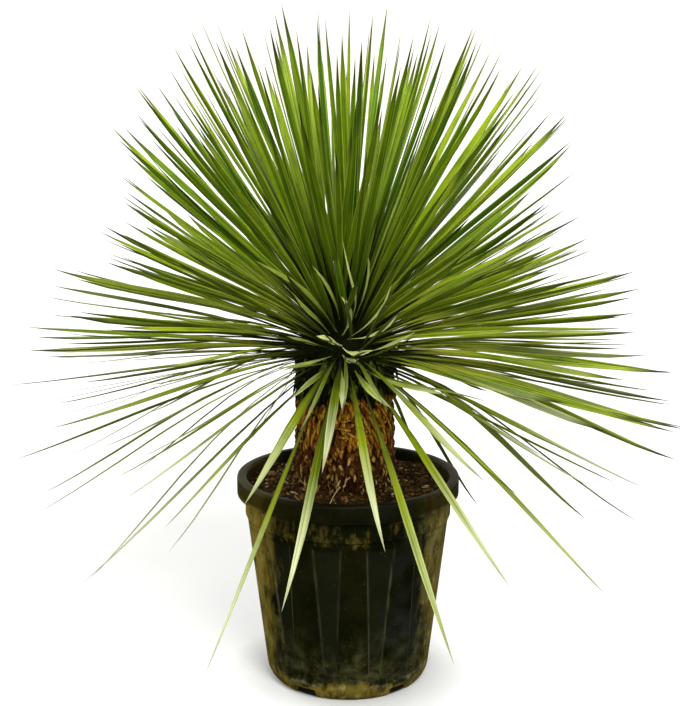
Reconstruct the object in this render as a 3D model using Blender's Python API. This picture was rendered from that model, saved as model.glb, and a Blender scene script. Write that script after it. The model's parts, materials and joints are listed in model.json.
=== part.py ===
"""Potted yucca: a fluted nursery pot, its soil, a short scaly trunk and one round head of narrow leaves.

Metres, +Z up. The origin is on the floor under the middle of the pot. The side that is seen first
looks along -Y, and a bearing is an angle round the trunk from there, towards +X.
"""

import math
import random

import bmesh
import bpy
from mathutils import Matrix, Vector, noise

SHARP_ANGLE = 35.0
NEARLY = 1e-5

# Pot: a turned-down rim, a plain collar under it, a tapering body and a foot ring under a raised floor
POT_HEIGHT = 0.264
RIM_RADIUS = 0.140
RIM_BAND = 0.0235
RIM_WIDTH = 0.0110
RIM_ROUND = 0.0025
RIM_PLATE = 0.0030
POT_WALL = 0.0025
BODY_TOP_RADIUS = 0.1298
COLLAR_BOTTOM = 0.2125
COLLAR_STEP = 0.0022
BODY_BOTTOM_RADIUS = 0.1046
BODY_BOTTOM = 0.0220
CORNER = ((-0.0048, -0.0168), (-0.0012, -0.0090))
FOOT_RADIUS = 0.0945
FOOT_WIDTH = 0.0050
FOOT_DRAFT = 0.0010
FOOT_HEIGHT = 0.0090

# Flutes in the pot's wall: each is wide above and narrow below, with sloping ends. Angles are in degrees
FLUTES = 12
FLUTE_COLUMNS = 6
SUNK_COLUMNS = (1, 2)
FLUTE_BEARING = 18.3
FLUTE_DEPTH = 0.0020
FLUTE_TOP = 0.2075
FLUTE_BOTTOM = 0.0330
FLUTE_END = 0.0070
FLUTE_HALF_ANGLE_TOP = 9.0
FLUTE_HALF_ANGLE_BOTTOM = 5.0
FLUTE_SIDE_ANGLE = 1.4
RIB_HALF_ANGLE = 3.0

# Drain notches through the foot and the edge of the floor
NOTCHES = 5
NOTCH_BEARING = 40.0
NOTCH_WIDTH = 0.031
NOTCH_TOP = 0.0128
NOTCH_INNER_RADIUS = 0.080
NOTCH_OUTER_RADIUS = 0.120
BELOW_FLOOR = -0.010

# Soil: its top slopes up a little from the wall to the trunk
CLEARANCE = 0.0003
SOIL_AT_WALL = 0.2500
SOIL_AT_TRUNK = 0.2550
SOIL_RINGS = 5
SOIL_LUMP = 0.0030
SOIL_LUMP_SIZE = 0.016
SOIL_SIDES = 36
FACET_ROOM = 0.0013

# Trunk: TRUNK_RADII are under the scales, at shares of the height that they cover
TRUNK_FOOT = 0.1700
TRUNK_FOOT_RADIUS = 0.0520
TRUNK_TOP = 0.3660
TRUNK_CROWN = 0.0060
SCALE_COUNT = 26
SCALE_ROWS = 9
SCALE_LIP = 0.12
SCALE_DEPTH = 0.0038
SCALE_ROOT_DEPTH = 0.0008
SCALE_VALLEY = 0.15
SCALE_DIP = 0.0050
SCALE_UNEVEN = 0.0016
SCALE_UNEVEN_SIZE = 0.011
SCALES_BOTTOM = 0.2630
TRUNK_RADII = ((0.0, 0.0635), (0.25, 0.0596), (0.6, 0.0588), (0.85, 0.0584), (1.0, 0.0565))

# Head: a small core, on which leaves come out a golden angle apart, crowding towards the top
HEAD_CENTRE = Vector((-0.004, 0.0, 0.415))
CORE_RADIUS = 0.0560
CORE_HEIGHT = 0.0500
CORE_FOOT_RADIUS = 0.0570
CORE_SIDES = 30
CORE_RINGS = 5
SEED = 11
GOLDEN_ANGLE = 137.508
HEAD_LEAVES = 350
HEAD_CROWDING = 0.88
HEAD_LOWEST = -15.0
SKIRT_LEAVES = 26
SKIRT_LOWEST = -42.0
FRONT_SECTOR = 25.0
FRONT_CEILING = 22.0
SKIRT_SECTOR = 65.0

# How far a leaf's tip lies from the head's centre, at its elevation in degrees, and the room for the tips
LEAF_REACH = (
    (-90, 0.420),
    (-14, 0.424),
    (-5, 0.405),
    (3, 0.385),
    (14, 0.375),
    (22, 0.352),
    (28, 0.330),
    (36, 0.332),
    (46, 0.405),
    (60, 0.414),
    (90, 0.414),
)
SIDE_ROOM = 0.424
DEPTH_ROOM = 0.410
TOP_ROOM = 0.834

# Uneven growth: spreads in degrees and metres, or the range of a factor
BEARING_SPREAD = 2.5
ELEVATION_SPREAD = 2.2
REACH_RANGE = (0.93, 1.04)
ARCH_RANGE = (0.006, 0.020)
SKIRT_ARCH = 0.012
BEND_SPREAD = 0.005
ROLL_SPREAD = 36.0
FRONT_ROLL = 12.0

# Leaf: stations are the share of its length, of its full width and of its full keel
LEAF_ROOT = 0.034
LEAF_KEEL = 0.0021
LEAF_WIDTH = 0.0112
LEAF_STATIONS = ((0.0, 0.44, 1.0), (0.36, 1.0, 1.0), (0.74, 0.76, 0.75), (1.0, 0.0, 0.0))

# By a leaf's elevation: the factor of its width, and how far out from the core's middle a low leaf starts
WIDTH_BY_ELEVATION = ((-90, 1.0), (15, 1.0), (60, 0.72), (90, 0.72))
ROOT_SHIFT = ((-90, 0.028), (-37, 0.028), (-12, 0.0), (90, 0.0))

# The leaves that face the viewer, lowest first: bearing, elevation, reach, upward arch and sideways bend
FRONT_LEAVES = (
    (-31, -46, 0.430, 0.004, 0.0),
    (21, -40, 0.425, 0.006, 0.0),
    (57, -34, 0.430, 0.010, 0.0),
    (-52, -30, 0.430, 0.010, 0.0),
    (-10, -28, 0.410, 0.012, 0.0),
    (27, -25, 0.415, 0.010, 0.0),
    (6, -17, 0.405, 0.010, 0.0),
    (-27, -15, 0.410, 0.010, 0.0),
    (-36, -13, 0.400, 0.012, 0.0),
    (52, -13, 0.425, 0.012, 0.0),
    (-14, -10, 0.405, 0.014, 0.0),
    (38, -10, 0.415, 0.014, 0.0),
    (20, -7, 0.405, 0.014, 0.0),
    (-3, -5, 0.400, 0.016, 0.0),
    (-22, -3, 0.400, 0.010, 0.0),
    (-6, 1, 0.400, 0.014, 0.0),
    (12, 2, 0.400, 0.010, 0.0),
    (0, 4, 0.385, 0.012, 0.0),
    (6, 4, 0.405, 0.012, 0.0),
    (21, 4, 0.390, -0.010, 0.0),
    (-8, 5, 0.380, 0.000, 0.0),
    (-9, 9, 0.380, -0.004, 0.0),
    (2, 10, 0.380, -0.004, 0.0),
    (4, 12, 0.380, -0.004, 0.0),
    (-4, 14, 0.385, 0.006, 0.0),
    (-8, 14, 0.380, 0.002, 0.0),
    (11, 14, 0.380, -0.008, 0.0),
    (-17, 15, 0.370, 0.004, 0.0),
    (9, 18, 0.380, -0.008, 0.0),
    (0, 20, 0.380, 0.000, 0.006),
    (-9, 20, 0.380, 0.002, 0.0),
    (8, 21, 0.380, -0.006, 0.006),
)


def clear_scene():
    for old in list(bpy.data.objects):
        bpy.data.objects.remove(old)


def material(name, colour, roughness):
    """A plain finish for one sub-part, none of which is metal."""
    made = bpy.data.materials.new(name)
    made.use_nodes = True
    shader = made.node_tree.nodes["Principled BSDF"]
    shader.inputs["Base Color"].default_value = (*colour, 1.0)
    shader.inputs["Roughness"].default_value = roughness
    shader.inputs["Metallic"].default_value = 0.0
    return made


def add_object(name, bm, finish):
    """Turns a bmesh into a named object with one finish and its faces outward."""
    bmesh.ops.recalc_face_normals(bm, faces=bm.faces)
    mesh = bpy.data.meshes.new(name)
    bm.to_mesh(mesh)
    bm.free()
    mesh.materials.append(finish)
    made = bpy.data.objects.new(name, mesh)
    bpy.context.scene.collection.objects.link(made)
    return made


def apply_modifiers(target):
    """Keeps the mesh that the modifiers make, and drops the modifiers."""
    graph = bpy.context.evaluated_depsgraph_get()
    made = bpy.data.meshes.new_from_object(target.evaluated_get(graph))
    target.modifiers.clear()
    target.data = made


def combine(target, operation, shapes, solver="EXACT"):
    """One applied Boolean of the target with a collection of the shapes, which is then removed."""
    helpers = bpy.data.collections.new(operation.lower())
    bpy.context.scene.collection.children.link(helpers)
    for bm in shapes:
        mesh = bpy.data.meshes.new("helper")
        bm.to_mesh(mesh)
        bm.free()
        helpers.objects.link(bpy.data.objects.new("helper", mesh))
    boolean = target.modifiers.new(operation.title(), "BOOLEAN")
    boolean.operation = operation
    boolean.operand_type = "COLLECTION"
    boolean.collection = helpers
    boolean.solver = solver
    apply_modifiers(target)
    for helper in list(helpers.objects):
        bpy.data.objects.remove(helper)
    bpy.data.collections.remove(helpers)


def shade(target):
    """Smooth shading that keeps the real edges sharp."""
    target.data.shade_smooth()
    target.data.set_sharp_from_angle(angle=math.radians(SHARP_ANGLE))


def keep_outer_shell(target):
    """Only the largest shell stays: hollows that a union seals are filled, and loose scraps dropped."""
    bm = bmesh.new()
    bm.from_mesh(target.data)
    unseen = set(bm.faces)
    shells = []
    while unseen:
        front = [unseen.pop()]
        shell = list(front)
        while front:
            near = {face for edge in front.pop().edges for face in edge.link_faces} & unseen
            unseen -= near
            front += near
            shell += near
        shells.append(shell)
    shells.sort(key=len)
    inner = [face for shell in shells[:-1] for face in shell]
    bmesh.ops.delete(bm, geom=inner, context="FACES")
    bm.to_mesh(target.data)
    bm.free()


def direction(bearing, elevation):
    """A unit vector, from a bearing round the trunk and an elevation above level, both in degrees."""
    turn, rise = math.radians(bearing), math.radians(elevation)
    return Vector((math.sin(turn) * math.cos(rise), -math.cos(turn) * math.cos(rise), math.sin(rise)))


def spun(profile, steps, first_angle=0.0):
    """A closed bmesh turned round Z from (radius, height) points that start and end on the axis."""
    bm = bmesh.new()
    start = Matrix.Rotation(first_angle, 3, "Z")
    points = [bm.verts.new(start @ Vector((radius, 0.0, height))) for radius, height in profile]
    lines = [bm.edges.new(pair) for pair in zip(points, points[1:])]
    turn = 2 * math.pi
    spin = {"cent": (0, 0, 0), "axis": (0, 0, 1), "angle": turn, "steps": steps, "use_merge": True}
    bmesh.ops.spin(bm, geom=points + lines, **spin)
    bmesh.ops.remove_doubles(bm, verts=bm.verts, dist=NEARLY)
    return bm


def between(pairs, x):
    """Straight-line reading of a rising list of (x, value) pairs, held at its last value."""
    for (x0, y0), (x1, y1) in zip(pairs, pairs[1:]):
        if x <= x1:
            return y0 + (y1 - y0) * (x - x0) / (x1 - x0)
    return pairs[-1][1]


def radius_of(vert):
    return math.hypot(vert.co.x, vert.co.y)


def body_radius(height):
    """The outside of the pot's tapering wall below the collar."""
    top = (COLLAR_BOTTOM, BODY_TOP_RADIUS - COLLAR_STEP)
    return between(((BODY_BOTTOM, BODY_BOTTOM_RADIUS), top), height)


def pot_profile():
    """Half section of the pot: from the axis under the floor, up the outside, over the rim, down inside."""
    flute_rings = (FLUTE_BOTTOM, FLUTE_BOTTOM + FLUTE_END, FLUTE_TOP - FLUTE_END, FLUTE_TOP)
    collar_edge = COLLAR_BOTTOM + COLLAR_STEP / 2
    rim_bottom = POT_HEIGHT - RIM_BAND
    rim_plate = POT_HEIGHT - RIM_PLATE
    wall_in = BODY_TOP_RADIUS - POT_WALL
    skirt_in = RIM_RADIUS - POT_WALL
    floor_top = FOOT_HEIGHT + POT_WALL
    outside = [
        (0.0, FOOT_HEIGHT),
        (FOOT_RADIUS - FOOT_WIDTH - FOOT_DRAFT, FOOT_HEIGHT),
        (FOOT_RADIUS - FOOT_WIDTH, 0.0),
        (FOOT_RADIUS, 0.0),
        *((BODY_BOTTOM_RADIUS + across, BODY_BOTTOM + up) for across, up in CORNER),
        (BODY_BOTTOM_RADIUS, BODY_BOTTOM),
        *((body_radius(height), height) for height in flute_rings),
        (BODY_TOP_RADIUS, collar_edge),
        (BODY_TOP_RADIUS, rim_plate),
    ]
    rim = [
        (skirt_in, rim_plate),
        (skirt_in, rim_bottom),
        (RIM_RADIUS, rim_bottom),
        (RIM_RADIUS, POT_HEIGHT - RIM_ROUND),
        (RIM_RADIUS - RIM_ROUND, POT_HEIGHT),
        (RIM_RADIUS - RIM_WIDTH, POT_HEIGHT),
        (wall_in, POT_HEIGHT - RIM_ROUND),
    ]
    inside = [
        (wall_in, collar_edge + POT_WALL),
        *((body_radius(height) - POT_WALL, height) for height in reversed(flute_rings[1:-1])),
        (BODY_BOTTOM_RADIUS - POT_WALL, BODY_BOTTOM),
        (FOOT_RADIUS, floor_top),
        (0.0, floor_top),
    ]
    return outside + rim + inside


def flute_columns(height):
    """Angles from a flute's middle, at a height, of its four columns and of the two on the next rib."""
    share = (height - FLUTE_BOTTOM) / (FLUTE_TOP - FLUTE_BOTTOM)
    edge = FLUTE_HALF_ANGLE_BOTTOM + share * (FLUTE_HALF_ANGLE_TOP - FLUTE_HALF_ANGLE_BOTTOM)
    floor = edge - FLUTE_SIDE_ANGLE
    rib = 180 / FLUTES
    return -edge, -floor, floor, edge, rib - RIB_HALF_ANGLE, rib + RIB_HALF_ANGLE


def press_flutes(bm, first_angle):
    """Moves the wall's columns so that each flute tapers, and sinks the ones on its floor."""
    step = 2 * math.pi / (FLUTES * FLUTE_COLUMNS)
    for vert in bm.verts:
        height, radius = vert.co.z, radius_of(vert)
        on_wall = radius > BODY_BOTTOM_RADIUS - 2 * POT_WALL
        if not on_wall or not FLUTE_BOTTOM - NEARLY <= height <= FLUTE_TOP + NEARLY:
            continue
        turned = round((math.atan2(vert.co.y, vert.co.x) - first_angle) / step)
        number, column = divmod(turned, FLUTE_COLUMNS)
        bearing = FLUTE_BEARING + number * 360 / FLUTES + flute_columns(height)[column]
        if column in SUNK_COLUMNS and FLUTE_BOTTOM + NEARLY < height < FLUTE_TOP - NEARLY:
            radius -= FLUTE_DEPTH
        vert.co = direction(bearing, 0.0) * radius + Vector((0.0, 0.0, height))


def notch_cutters():
    """One block for each drain notch."""
    depth = NOTCH_OUTER_RADIUS - NOTCH_INNER_RADIUS
    for number in range(NOTCHES):
        bm = bmesh.new()
        bmesh.ops.create_cube(bm, size=1.0)
        bmesh.ops.scale(bm, vec=(NOTCH_WIDTH, depth, NOTCH_TOP - BELOW_FLOOR), verts=bm.verts)
        middle = (0.0, -NOTCH_INNER_RADIUS - depth / 2, (NOTCH_TOP + BELOW_FLOOR) / 2)
        bmesh.ops.translate(bm, vec=middle, verts=bm.verts)
        turn = Matrix.Rotation(math.radians(NOTCH_BEARING + number * 360 / NOTCHES), 3, "Z")
        bmesh.ops.rotate(bm, cent=(0, 0, 0), matrix=turn, verts=bm.verts)
        yield bm


def make_pot():
    columns = FLUTES * FLUTE_COLUMNS
    half_flute = 360 / columns * (max(SUNK_COLUMNS) - 0.5)
    first_angle = math.radians(FLUTE_BEARING - 90.0 - half_flute)
    bm = spun(pot_profile(), columns, first_angle)
    press_flutes(bm, first_angle)
    pot = add_object("pot", bm, material("black_plastic", (0.030, 0.032, 0.026), 0.55))
    combine(pot, "DIFFERENCE", notch_cutters())
    shade(pot)


def trunk_hole():
    """The plain round hole in the soil that the foot of the trunk stands in."""
    radius = TRUNK_FOOT_RADIUS + CLEARANCE
    low, high = TRUNK_FOOT - CLEARANCE, POT_HEIGHT
    bm = bmesh.new()
    sides = 2 * SCALE_COUNT
    bmesh.ops.create_cone(bm, cap_ends=True, segments=sides, radius1=radius, radius2=radius, depth=high - low)
    bmesh.ops.translate(bm, vec=(HEAD_CENTRE.x, HEAD_CENTRE.y, (low + high) / 2), verts=bm.verts)
    yield bm


def make_soil():
    """It fills the pot, clear of the flutes, with a lumpy top and a hole for the trunk."""
    wall_room = POT_WALL + FLUTE_DEPTH + CLEARANCE + FACET_ROOM
    edge = BODY_TOP_RADIUS - POT_WALL - CLEARANCE - FACET_ROOM / 2
    floor = FOOT_HEIGHT + POT_WALL + CLEARANCE
    profile = [
        (0.0, floor),
        (FOOT_RADIUS - FACET_ROOM, floor),
        (BODY_BOTTOM_RADIUS - wall_room, BODY_BOTTOM + FACET_ROOM),
        (body_radius(FLUTE_TOP) - wall_room, COLLAR_BOTTOM),
        (edge, COLLAR_BOTTOM + 2 * POT_WALL),
    ]
    for number in range(SOIL_RINGS):
        share = number / SOIL_RINGS
        radius = edge + (TRUNK_FOOT_RADIUS - edge) * share
        profile.append((radius, SOIL_AT_WALL + (SOIL_AT_TRUNK - SOIL_AT_WALL) * share))
    profile.append((0.0, SOIL_AT_TRUNK))
    bm = spun(profile, SOIL_SIDES)
    for vert in bm.verts:
        if vert.co.z > SOIL_AT_WALL and radius_of(vert) < edge - FACET_ROOM:
            vert.co.z += SOIL_LUMP * noise.noise(vert.co / SOIL_LUMP_SIZE)
    soil = add_object("soil", bm, material("potting_bark", (0.075, 0.042, 0.024), 0.95))
    combine(soil, "DIFFERENCE", trunk_hole())
    shade(soil)


def make_trunk():
    """The stem. Rows of pointed scales, the bases of fallen leaves, hang from it like shingles."""
    scales_top = TRUNK_TOP - TRUNK_CROWN
    covered = scales_top - SCALES_BOTTOM
    row = covered / SCALE_ROWS
    foot_top = (TRUNK_FOOT_RADIUS, SCALES_BOTTOM - SCALE_DIP)
    profile = [(0.0, TRUNK_FOOT), (TRUNK_FOOT_RADIUS, TRUNK_FOOT), foot_top]
    for number in range(SCALE_ROWS):
        for share in (number / SCALE_ROWS, (number + 1 - SCALE_LIP) / SCALE_ROWS):
            profile.append((between(TRUNK_RADII, share), SCALES_BOTTOM + covered * share))
    profile += [(TRUNK_RADII[-1][1], scales_top), (0.0, TRUNK_TOP)]
    columns = 2 * SCALE_COUNT
    bm = spun(profile, columns)
    for vert in bm.verts:
        number, above = divmod(vert.co.z - SCALES_BOTTOM + CLEARANCE, row)
        radius = radius_of(vert)
        if radius < CORE_RADIUS or not 0 <= number < SCALE_ROWS:
            continue
        column = round(math.atan2(vert.co.y, vert.co.x) * columns / (2 * math.pi))
        on_scale = (column + number) % 2 == 0
        at_tip = above < SCALE_LIP * row
        depth = (SCALE_DEPTH if at_tip else SCALE_ROOT_DEPTH) * (1.0 if on_scale else SCALE_VALLEY)
        depth += SCALE_UNEVEN * noise.noise(vert.co / SCALE_UNEVEN_SIZE)
        vert.co.xy *= 1 + depth / radius
        if at_tip and on_scale and number > 0:
            vert.co.z -= SCALE_DIP
    bmesh.ops.translate(bm, vec=HEAD_CENTRE.xy.to_3d(), verts=bm.verts)
    add_object("trunk", bm, material("trunk_fibre", (0.29, 0.16, 0.06), 0.9))


def leaf_rule():
    """(bearing, elevation, reach, arch, side bend, roll) of every leaf, oldest first.

    New leaves come out a golden angle apart, ever nearer the top of the head. The few old ones below
    the rest hang down like a skirt. In front, the leaves of the table take the place of the low ones.
    """
    draw = random.Random(SEED)
    leaves = [(*leaf, draw.uniform(-FRONT_ROLL, FRONT_ROLL)) for leaf in FRONT_LEAVES]
    lowest, start = (math.sin(math.radians(angle)) for angle in (SKIRT_LOWEST, HEAD_LOWEST))
    for number in range(SKIRT_LEAVES + HEAD_LEAVES):
        in_skirt = number < SKIRT_LEAVES
        if in_skirt:
            rise = lowest + (start - lowest) * (number + 0.5) / SKIRT_LEAVES
        else:
            rise = start + (1.0 - start) * ((number - SKIRT_LEAVES + 0.5) / HEAD_LEAVES) ** HEAD_CROWDING
        bearing = (number * GOLDEN_ANGLE + draw.gauss(0, BEARING_SPREAD) + 180) % 360 - 180
        elevation = max(SKIRT_LOWEST, math.degrees(math.asin(rise)) + draw.gauss(0, ELEVATION_SPREAD))
        reach = between(LEAF_REACH, elevation) * draw.uniform(*REACH_RANGE)
        arch = math.cos(math.radians(elevation)) * draw.uniform(*ARCH_RANGE)
        arch += SKIRT_ARCH if elevation < HEAD_LOWEST else 0.0
        bend = draw.gauss(0, BEND_SPREAD)
        roll = draw.gauss(0, ROLL_SPREAD)
        behind_table = abs(bearing) < FRONT_SECTOR and elevation < FRONT_CEILING
        if not behind_table and not (in_skirt and abs(bearing) < SKIRT_SECTOR):
            leaves.append((bearing, elevation, reach, arch, bend, roll))
    return leaves


def leaf_line(leaf):
    """A function from a share of a leaf's length to its line's point, and its across and upward directions.

    The line starts inside the core and bows most at a third of its length. The lowest leaves leave the
    core further out, clear of the trunk.
    """
    bearing, elevation, reach, arch, bend, roll = leaf
    along = direction(bearing, elevation)
    outward = direction(bearing, 0.0)
    level = direction(bearing + 90.0, 0.0)
    above = along.cross(level)
    chord = along * reach
    tip = HEAD_CENTRE + chord
    room = [SIDE_ROOM / abs(tip.x), DEPTH_ROOM / abs(tip.y)]
    if chord.z > 0:
        room.append((TOP_ROOM - HEAD_CENTRE.z) / chord.z)
    shift = outward * between(ROOT_SHIFT, elevation)
    chord = chord * min(1.0, *room) - shift
    bow = above * arch + level * bend
    start = (LEAF_ROOT - shift.length) / chord.length
    bow_peak = 4 / 27

    def point(share):
        reached = start + (1 - start) * share
        return HEAD_CENTRE + shift + chord * reached + bow * (reached * (1 - reached) ** 2 / bow_peak)

    turn = math.radians(roll)
    across = level * math.cos(turn) + above * math.sin(turn)
    upward = above * math.cos(turn) - level * math.sin(turn)
    return point, across, upward


def blade_template():
    """A three-sided prism from 0 to 1 along Z, cut across at the stations, its far end merged to a point."""
    bm = bmesh.new()
    bmesh.ops.create_cone(bm, cap_ends=True, segments=3, radius1=1.0, radius2=1.0, depth=1.0)
    bmesh.ops.translate(bm, vec=(0, 0, 0.5), verts=bm.verts)
    for share, _, _ in LEAF_STATIONS[1:-1]:
        geometry = [*bm.verts, *bm.edges, *bm.faces]
        bmesh.ops.bisect_plane(bm, geom=geometry, plane_co=(0, 0, share), plane_no=(0, 0, 1))
    tip = [vert for vert in bm.verts if vert.co.z > 1 - NEARLY]
    bmesh.ops.pointmerge(bm, verts=tip, merge_co=(0, 0, 1))
    bmesh.ops.triangulate(bm, faces=bm.faces)
    bmesh.ops.recalc_face_normals(bm, faces=bm.faces)
    return bm


def blade(leaf):
    """The prism laid along the leaf's line: two corners are the margins and the third is the keel below."""
    bm = blade_template()
    point, across, upward = leaf_line(leaf)
    size = LEAF_WIDTH * between(WIDTH_BY_ELEVATION, leaf[1])
    widths = [(share, width) for share, width, _ in LEAF_STATIONS]
    keels = [(share, keel) for share, _, keel in LEAF_STATIONS]
    for vert in bm.verts:
        corner, share = vert.co.xy, vert.co.z
        vert.co = point(share)
        if abs(corner.x) > 0.5:
            vert.co -= across * math.copysign(size / 2, corner.x) * between(widths, share)
        elif corner.y > 0.5:
            vert.co -= upward * LEAF_KEEL * between(keels, share)
    return bm


def make_head():
    """The core of the head with every leaf sunk into it, joined by one union."""
    profile = [(0.0, TRUNK_TOP + CLEARANCE), (CORE_FOOT_RADIUS, TRUNK_TOP + CLEARANCE)]
    for number in range(CORE_RINGS):
        angle = math.pi / 2 * number / CORE_RINGS
        profile.append((CORE_RADIUS * math.cos(angle), HEAD_CENTRE.z + CORE_HEIGHT * math.sin(angle)))
    profile.append((0.0, HEAD_CENTRE.z + CORE_HEIGHT))
    bm = spun(profile, CORE_SIDES)
    bmesh.ops.translate(bm, vec=HEAD_CENTRE.xy.to_3d(), verts=bm.verts)
    head = add_object("leaf_head", bm, material("yucca_leaf", (0.16, 0.26, 0.03), 0.5))
    combine(head, "UNION", (blade(leaf) for leaf in leaf_rule()), "MANIFOLD")
    keep_outer_shell(head)


def main():
    clear_scene()
    make_pot()
    make_soil()
    make_trunk()
    make_head()
    pieces = list(bpy.data.objects)
    plant = bpy.data.objects.new("potted_yucca", None)
    bpy.context.scene.collection.objects.link(plant)
    for piece in pieces:
        piece.parent = plant


main()
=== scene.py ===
# %% [markdown]
# # A potted yucca
#
# This script dresses the plain model of a potted yucca: a round head of stiff, narrow leaves on a short
# scaly trunk, in an old black nursery pot. The plain model is the frame. Every piece made here takes the
# place of one of its four solids, keeps its form, and adds what a solid of few faces can't show.
#
# Lengths are in metres and +Z is up. The origin is on the floor under the middle of the pot. A bearing is
# an angle round the plant in degrees: 0 looks at the viewer, who stands on the -Y side, and 90 is +X.

# %% Load the frame
import json
import math
import random

import bmesh
import bpy
from mathutils import Matrix, Vector, noise

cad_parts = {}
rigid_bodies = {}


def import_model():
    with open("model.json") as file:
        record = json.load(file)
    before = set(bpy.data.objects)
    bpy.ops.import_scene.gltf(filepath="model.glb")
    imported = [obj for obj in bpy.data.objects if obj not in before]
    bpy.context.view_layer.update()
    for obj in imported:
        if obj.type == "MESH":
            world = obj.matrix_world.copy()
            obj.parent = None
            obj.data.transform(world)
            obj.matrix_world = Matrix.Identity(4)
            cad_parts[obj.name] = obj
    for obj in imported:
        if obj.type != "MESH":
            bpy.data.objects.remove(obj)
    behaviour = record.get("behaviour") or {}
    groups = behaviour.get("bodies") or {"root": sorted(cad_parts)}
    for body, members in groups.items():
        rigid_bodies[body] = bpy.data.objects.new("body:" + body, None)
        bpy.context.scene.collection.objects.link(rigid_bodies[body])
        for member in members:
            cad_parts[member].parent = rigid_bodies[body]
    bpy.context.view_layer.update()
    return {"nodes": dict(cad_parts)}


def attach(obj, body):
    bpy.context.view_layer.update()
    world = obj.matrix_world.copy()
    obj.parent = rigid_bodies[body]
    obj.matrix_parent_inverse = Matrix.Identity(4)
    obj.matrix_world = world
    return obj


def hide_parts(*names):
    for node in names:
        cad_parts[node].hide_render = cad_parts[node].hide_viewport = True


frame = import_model()
print("frame:", sorted(frame["nodes"]))

# %% [markdown]
# ## Camera
#
# A camera can be placed by eye, or fitted: the two ends of the pot's rim, its foot and the height of its
# ellipse are enough to work out where a photographer stood. This one was fitted. It is a short telephoto
# view from 1.6 m away, looking 11 degrees down. `seen_at` turns the fit round: it gives the point that a
# pixel of the 680 by 706 picture shows, at a chosen depth. It is used later for the youngest leaves.

# %% Place the camera
PICTURE_SIZE = (680, 706)
SENSOR = 36.0
LENS = 66.95
EYE = Vector((0.0, -1.600, 0.737))
LOOK_DOWN = 11.28
LOOK_LEFT = 0.36

camera_data = bpy.data.cameras.new("camera")
camera_data.lens = LENS
camera_data.sensor_width = SENSOR
camera = bpy.data.objects.new("camera", camera_data)
camera.location = EYE
camera.rotation_euler = (math.radians(90 - LOOK_DOWN), 0.0, math.radians(LOOK_LEFT))
bpy.context.scene.collection.objects.link(camera)
bpy.context.scene.camera = camera


def seen_at(column, row, depth):
    """The point that a pixel shows where its line of sight reaches Y = depth."""
    width, height = PICTURE_SIZE
    focal_pixels = LENS / SENSOR * height
    in_camera = Vector((column - width / 2, height / 2 - row, -focal_pixels))
    sight = camera.rotation_euler.to_matrix() @ in_camera
    return EYE + sight * ((depth - EYE.y) / sight.y)


print("the picture's middle at the trunk:", [round(value, 3) for value in seen_at(340, 353, 0.0)])

# %% [markdown]
# ## Tools for the pieces
#
# Every piece goes the same way: a bmesh becomes a mesh, the mesh an object at the origin, and the object
# rides with the plant and stands for a solid of the frame. These helpers do that once for all. `spun` turns
# a half section round the upright axis, which is how the pot, the soil, the stem and the core are made.

# %% Piece helpers
SHARP_ANGLE = 38.0
NEARLY = 1e-5


def mesh_of(name, bm):
    """Turns a bmesh into a mesh, and frees it."""
    mesh = bpy.data.meshes.new(name)
    bm.to_mesh(mesh)
    bm.free()
    return mesh


def add_piece(name, bm, finish, stands_for, smooth=True):
    """Turns a bmesh into a piece that takes the place of a frame solid."""
    bmesh.ops.recalc_face_normals(bm, faces=bm.faces)
    mesh = mesh_of(name, bm)
    mesh.materials.append(finish)
    if smooth:
        mesh.shade_smooth()
        mesh.set_sharp_from_angle(angle=math.radians(SHARP_ANGLE))
    piece = bpy.data.objects.new(name, mesh)
    bpy.context.scene.collection.objects.link(piece)
    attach(piece, "root")
    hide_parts(stands_for)
    triangles = sum(len(face.vertices) - 2 for face in mesh.polygons)
    print(f"{name}: {triangles} triangles")
    return piece


def direction(bearing, elevation):
    """A unit vector from a bearing and an elevation above level, both in degrees."""
    turn = math.radians(bearing)
    rise = math.radians(elevation)
    return Vector((math.sin(turn) * math.cos(rise), -math.cos(turn) * math.cos(rise), math.sin(rise)))


def between(pairs, x):
    """Straight-line reading of a rising list of (x, value) pairs, held at its last value."""
    for (x0, y0), (x1, y1) in zip(pairs, pairs[1:]):
        if x <= x1:
            return y0 + (y1 - y0) * (x - x0) / (x1 - x0)
    return pairs[-1][1]


def smooth_step(low, high, x):
    share = min(1.0, max(0.0, (x - low) / (high - low)))
    return share * share * (3 - 2 * share)


def spun(points, steps):
    """A closed surface: a chain of points at Y = 0 that is spun round Z."""
    bm = bmesh.new()
    chain = [bm.verts.new(point) for point in points]
    lines = [bm.edges.new(pair) for pair in zip(chain, chain[1:])]
    turn = {"cent": (0, 0, 0), "axis": (0, 0, 1), "angle": 2 * math.pi, "steps": steps, "use_merge": True}
    bmesh.ops.spin(bm, geom=chain + lines, **turn)
    bmesh.ops.remove_doubles(bm, verts=bm.verts, dist=NEARLY)
    return bm


def value_layers(bm, names):
    """A layer for each value that is kept at the vertices."""
    for name in names:
        bm.verts.layers.float.new(name)
    return {name: bm.verts.layers.float[name] for name in names}


# %% [markdown]
# Leaves, dry scales and leaf bases are all long and thin, and there are hundreds of each. They start from
# one shape: a six-sided prism that stands on the floor, one unit high, cut across at a few heights. All its
# copies go into one bmesh first, and then each copy's few vertices are laid where that leaf belongs. This
# is far quicker than modelling every leaf, and a copy keeps its own values for the finish.

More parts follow.
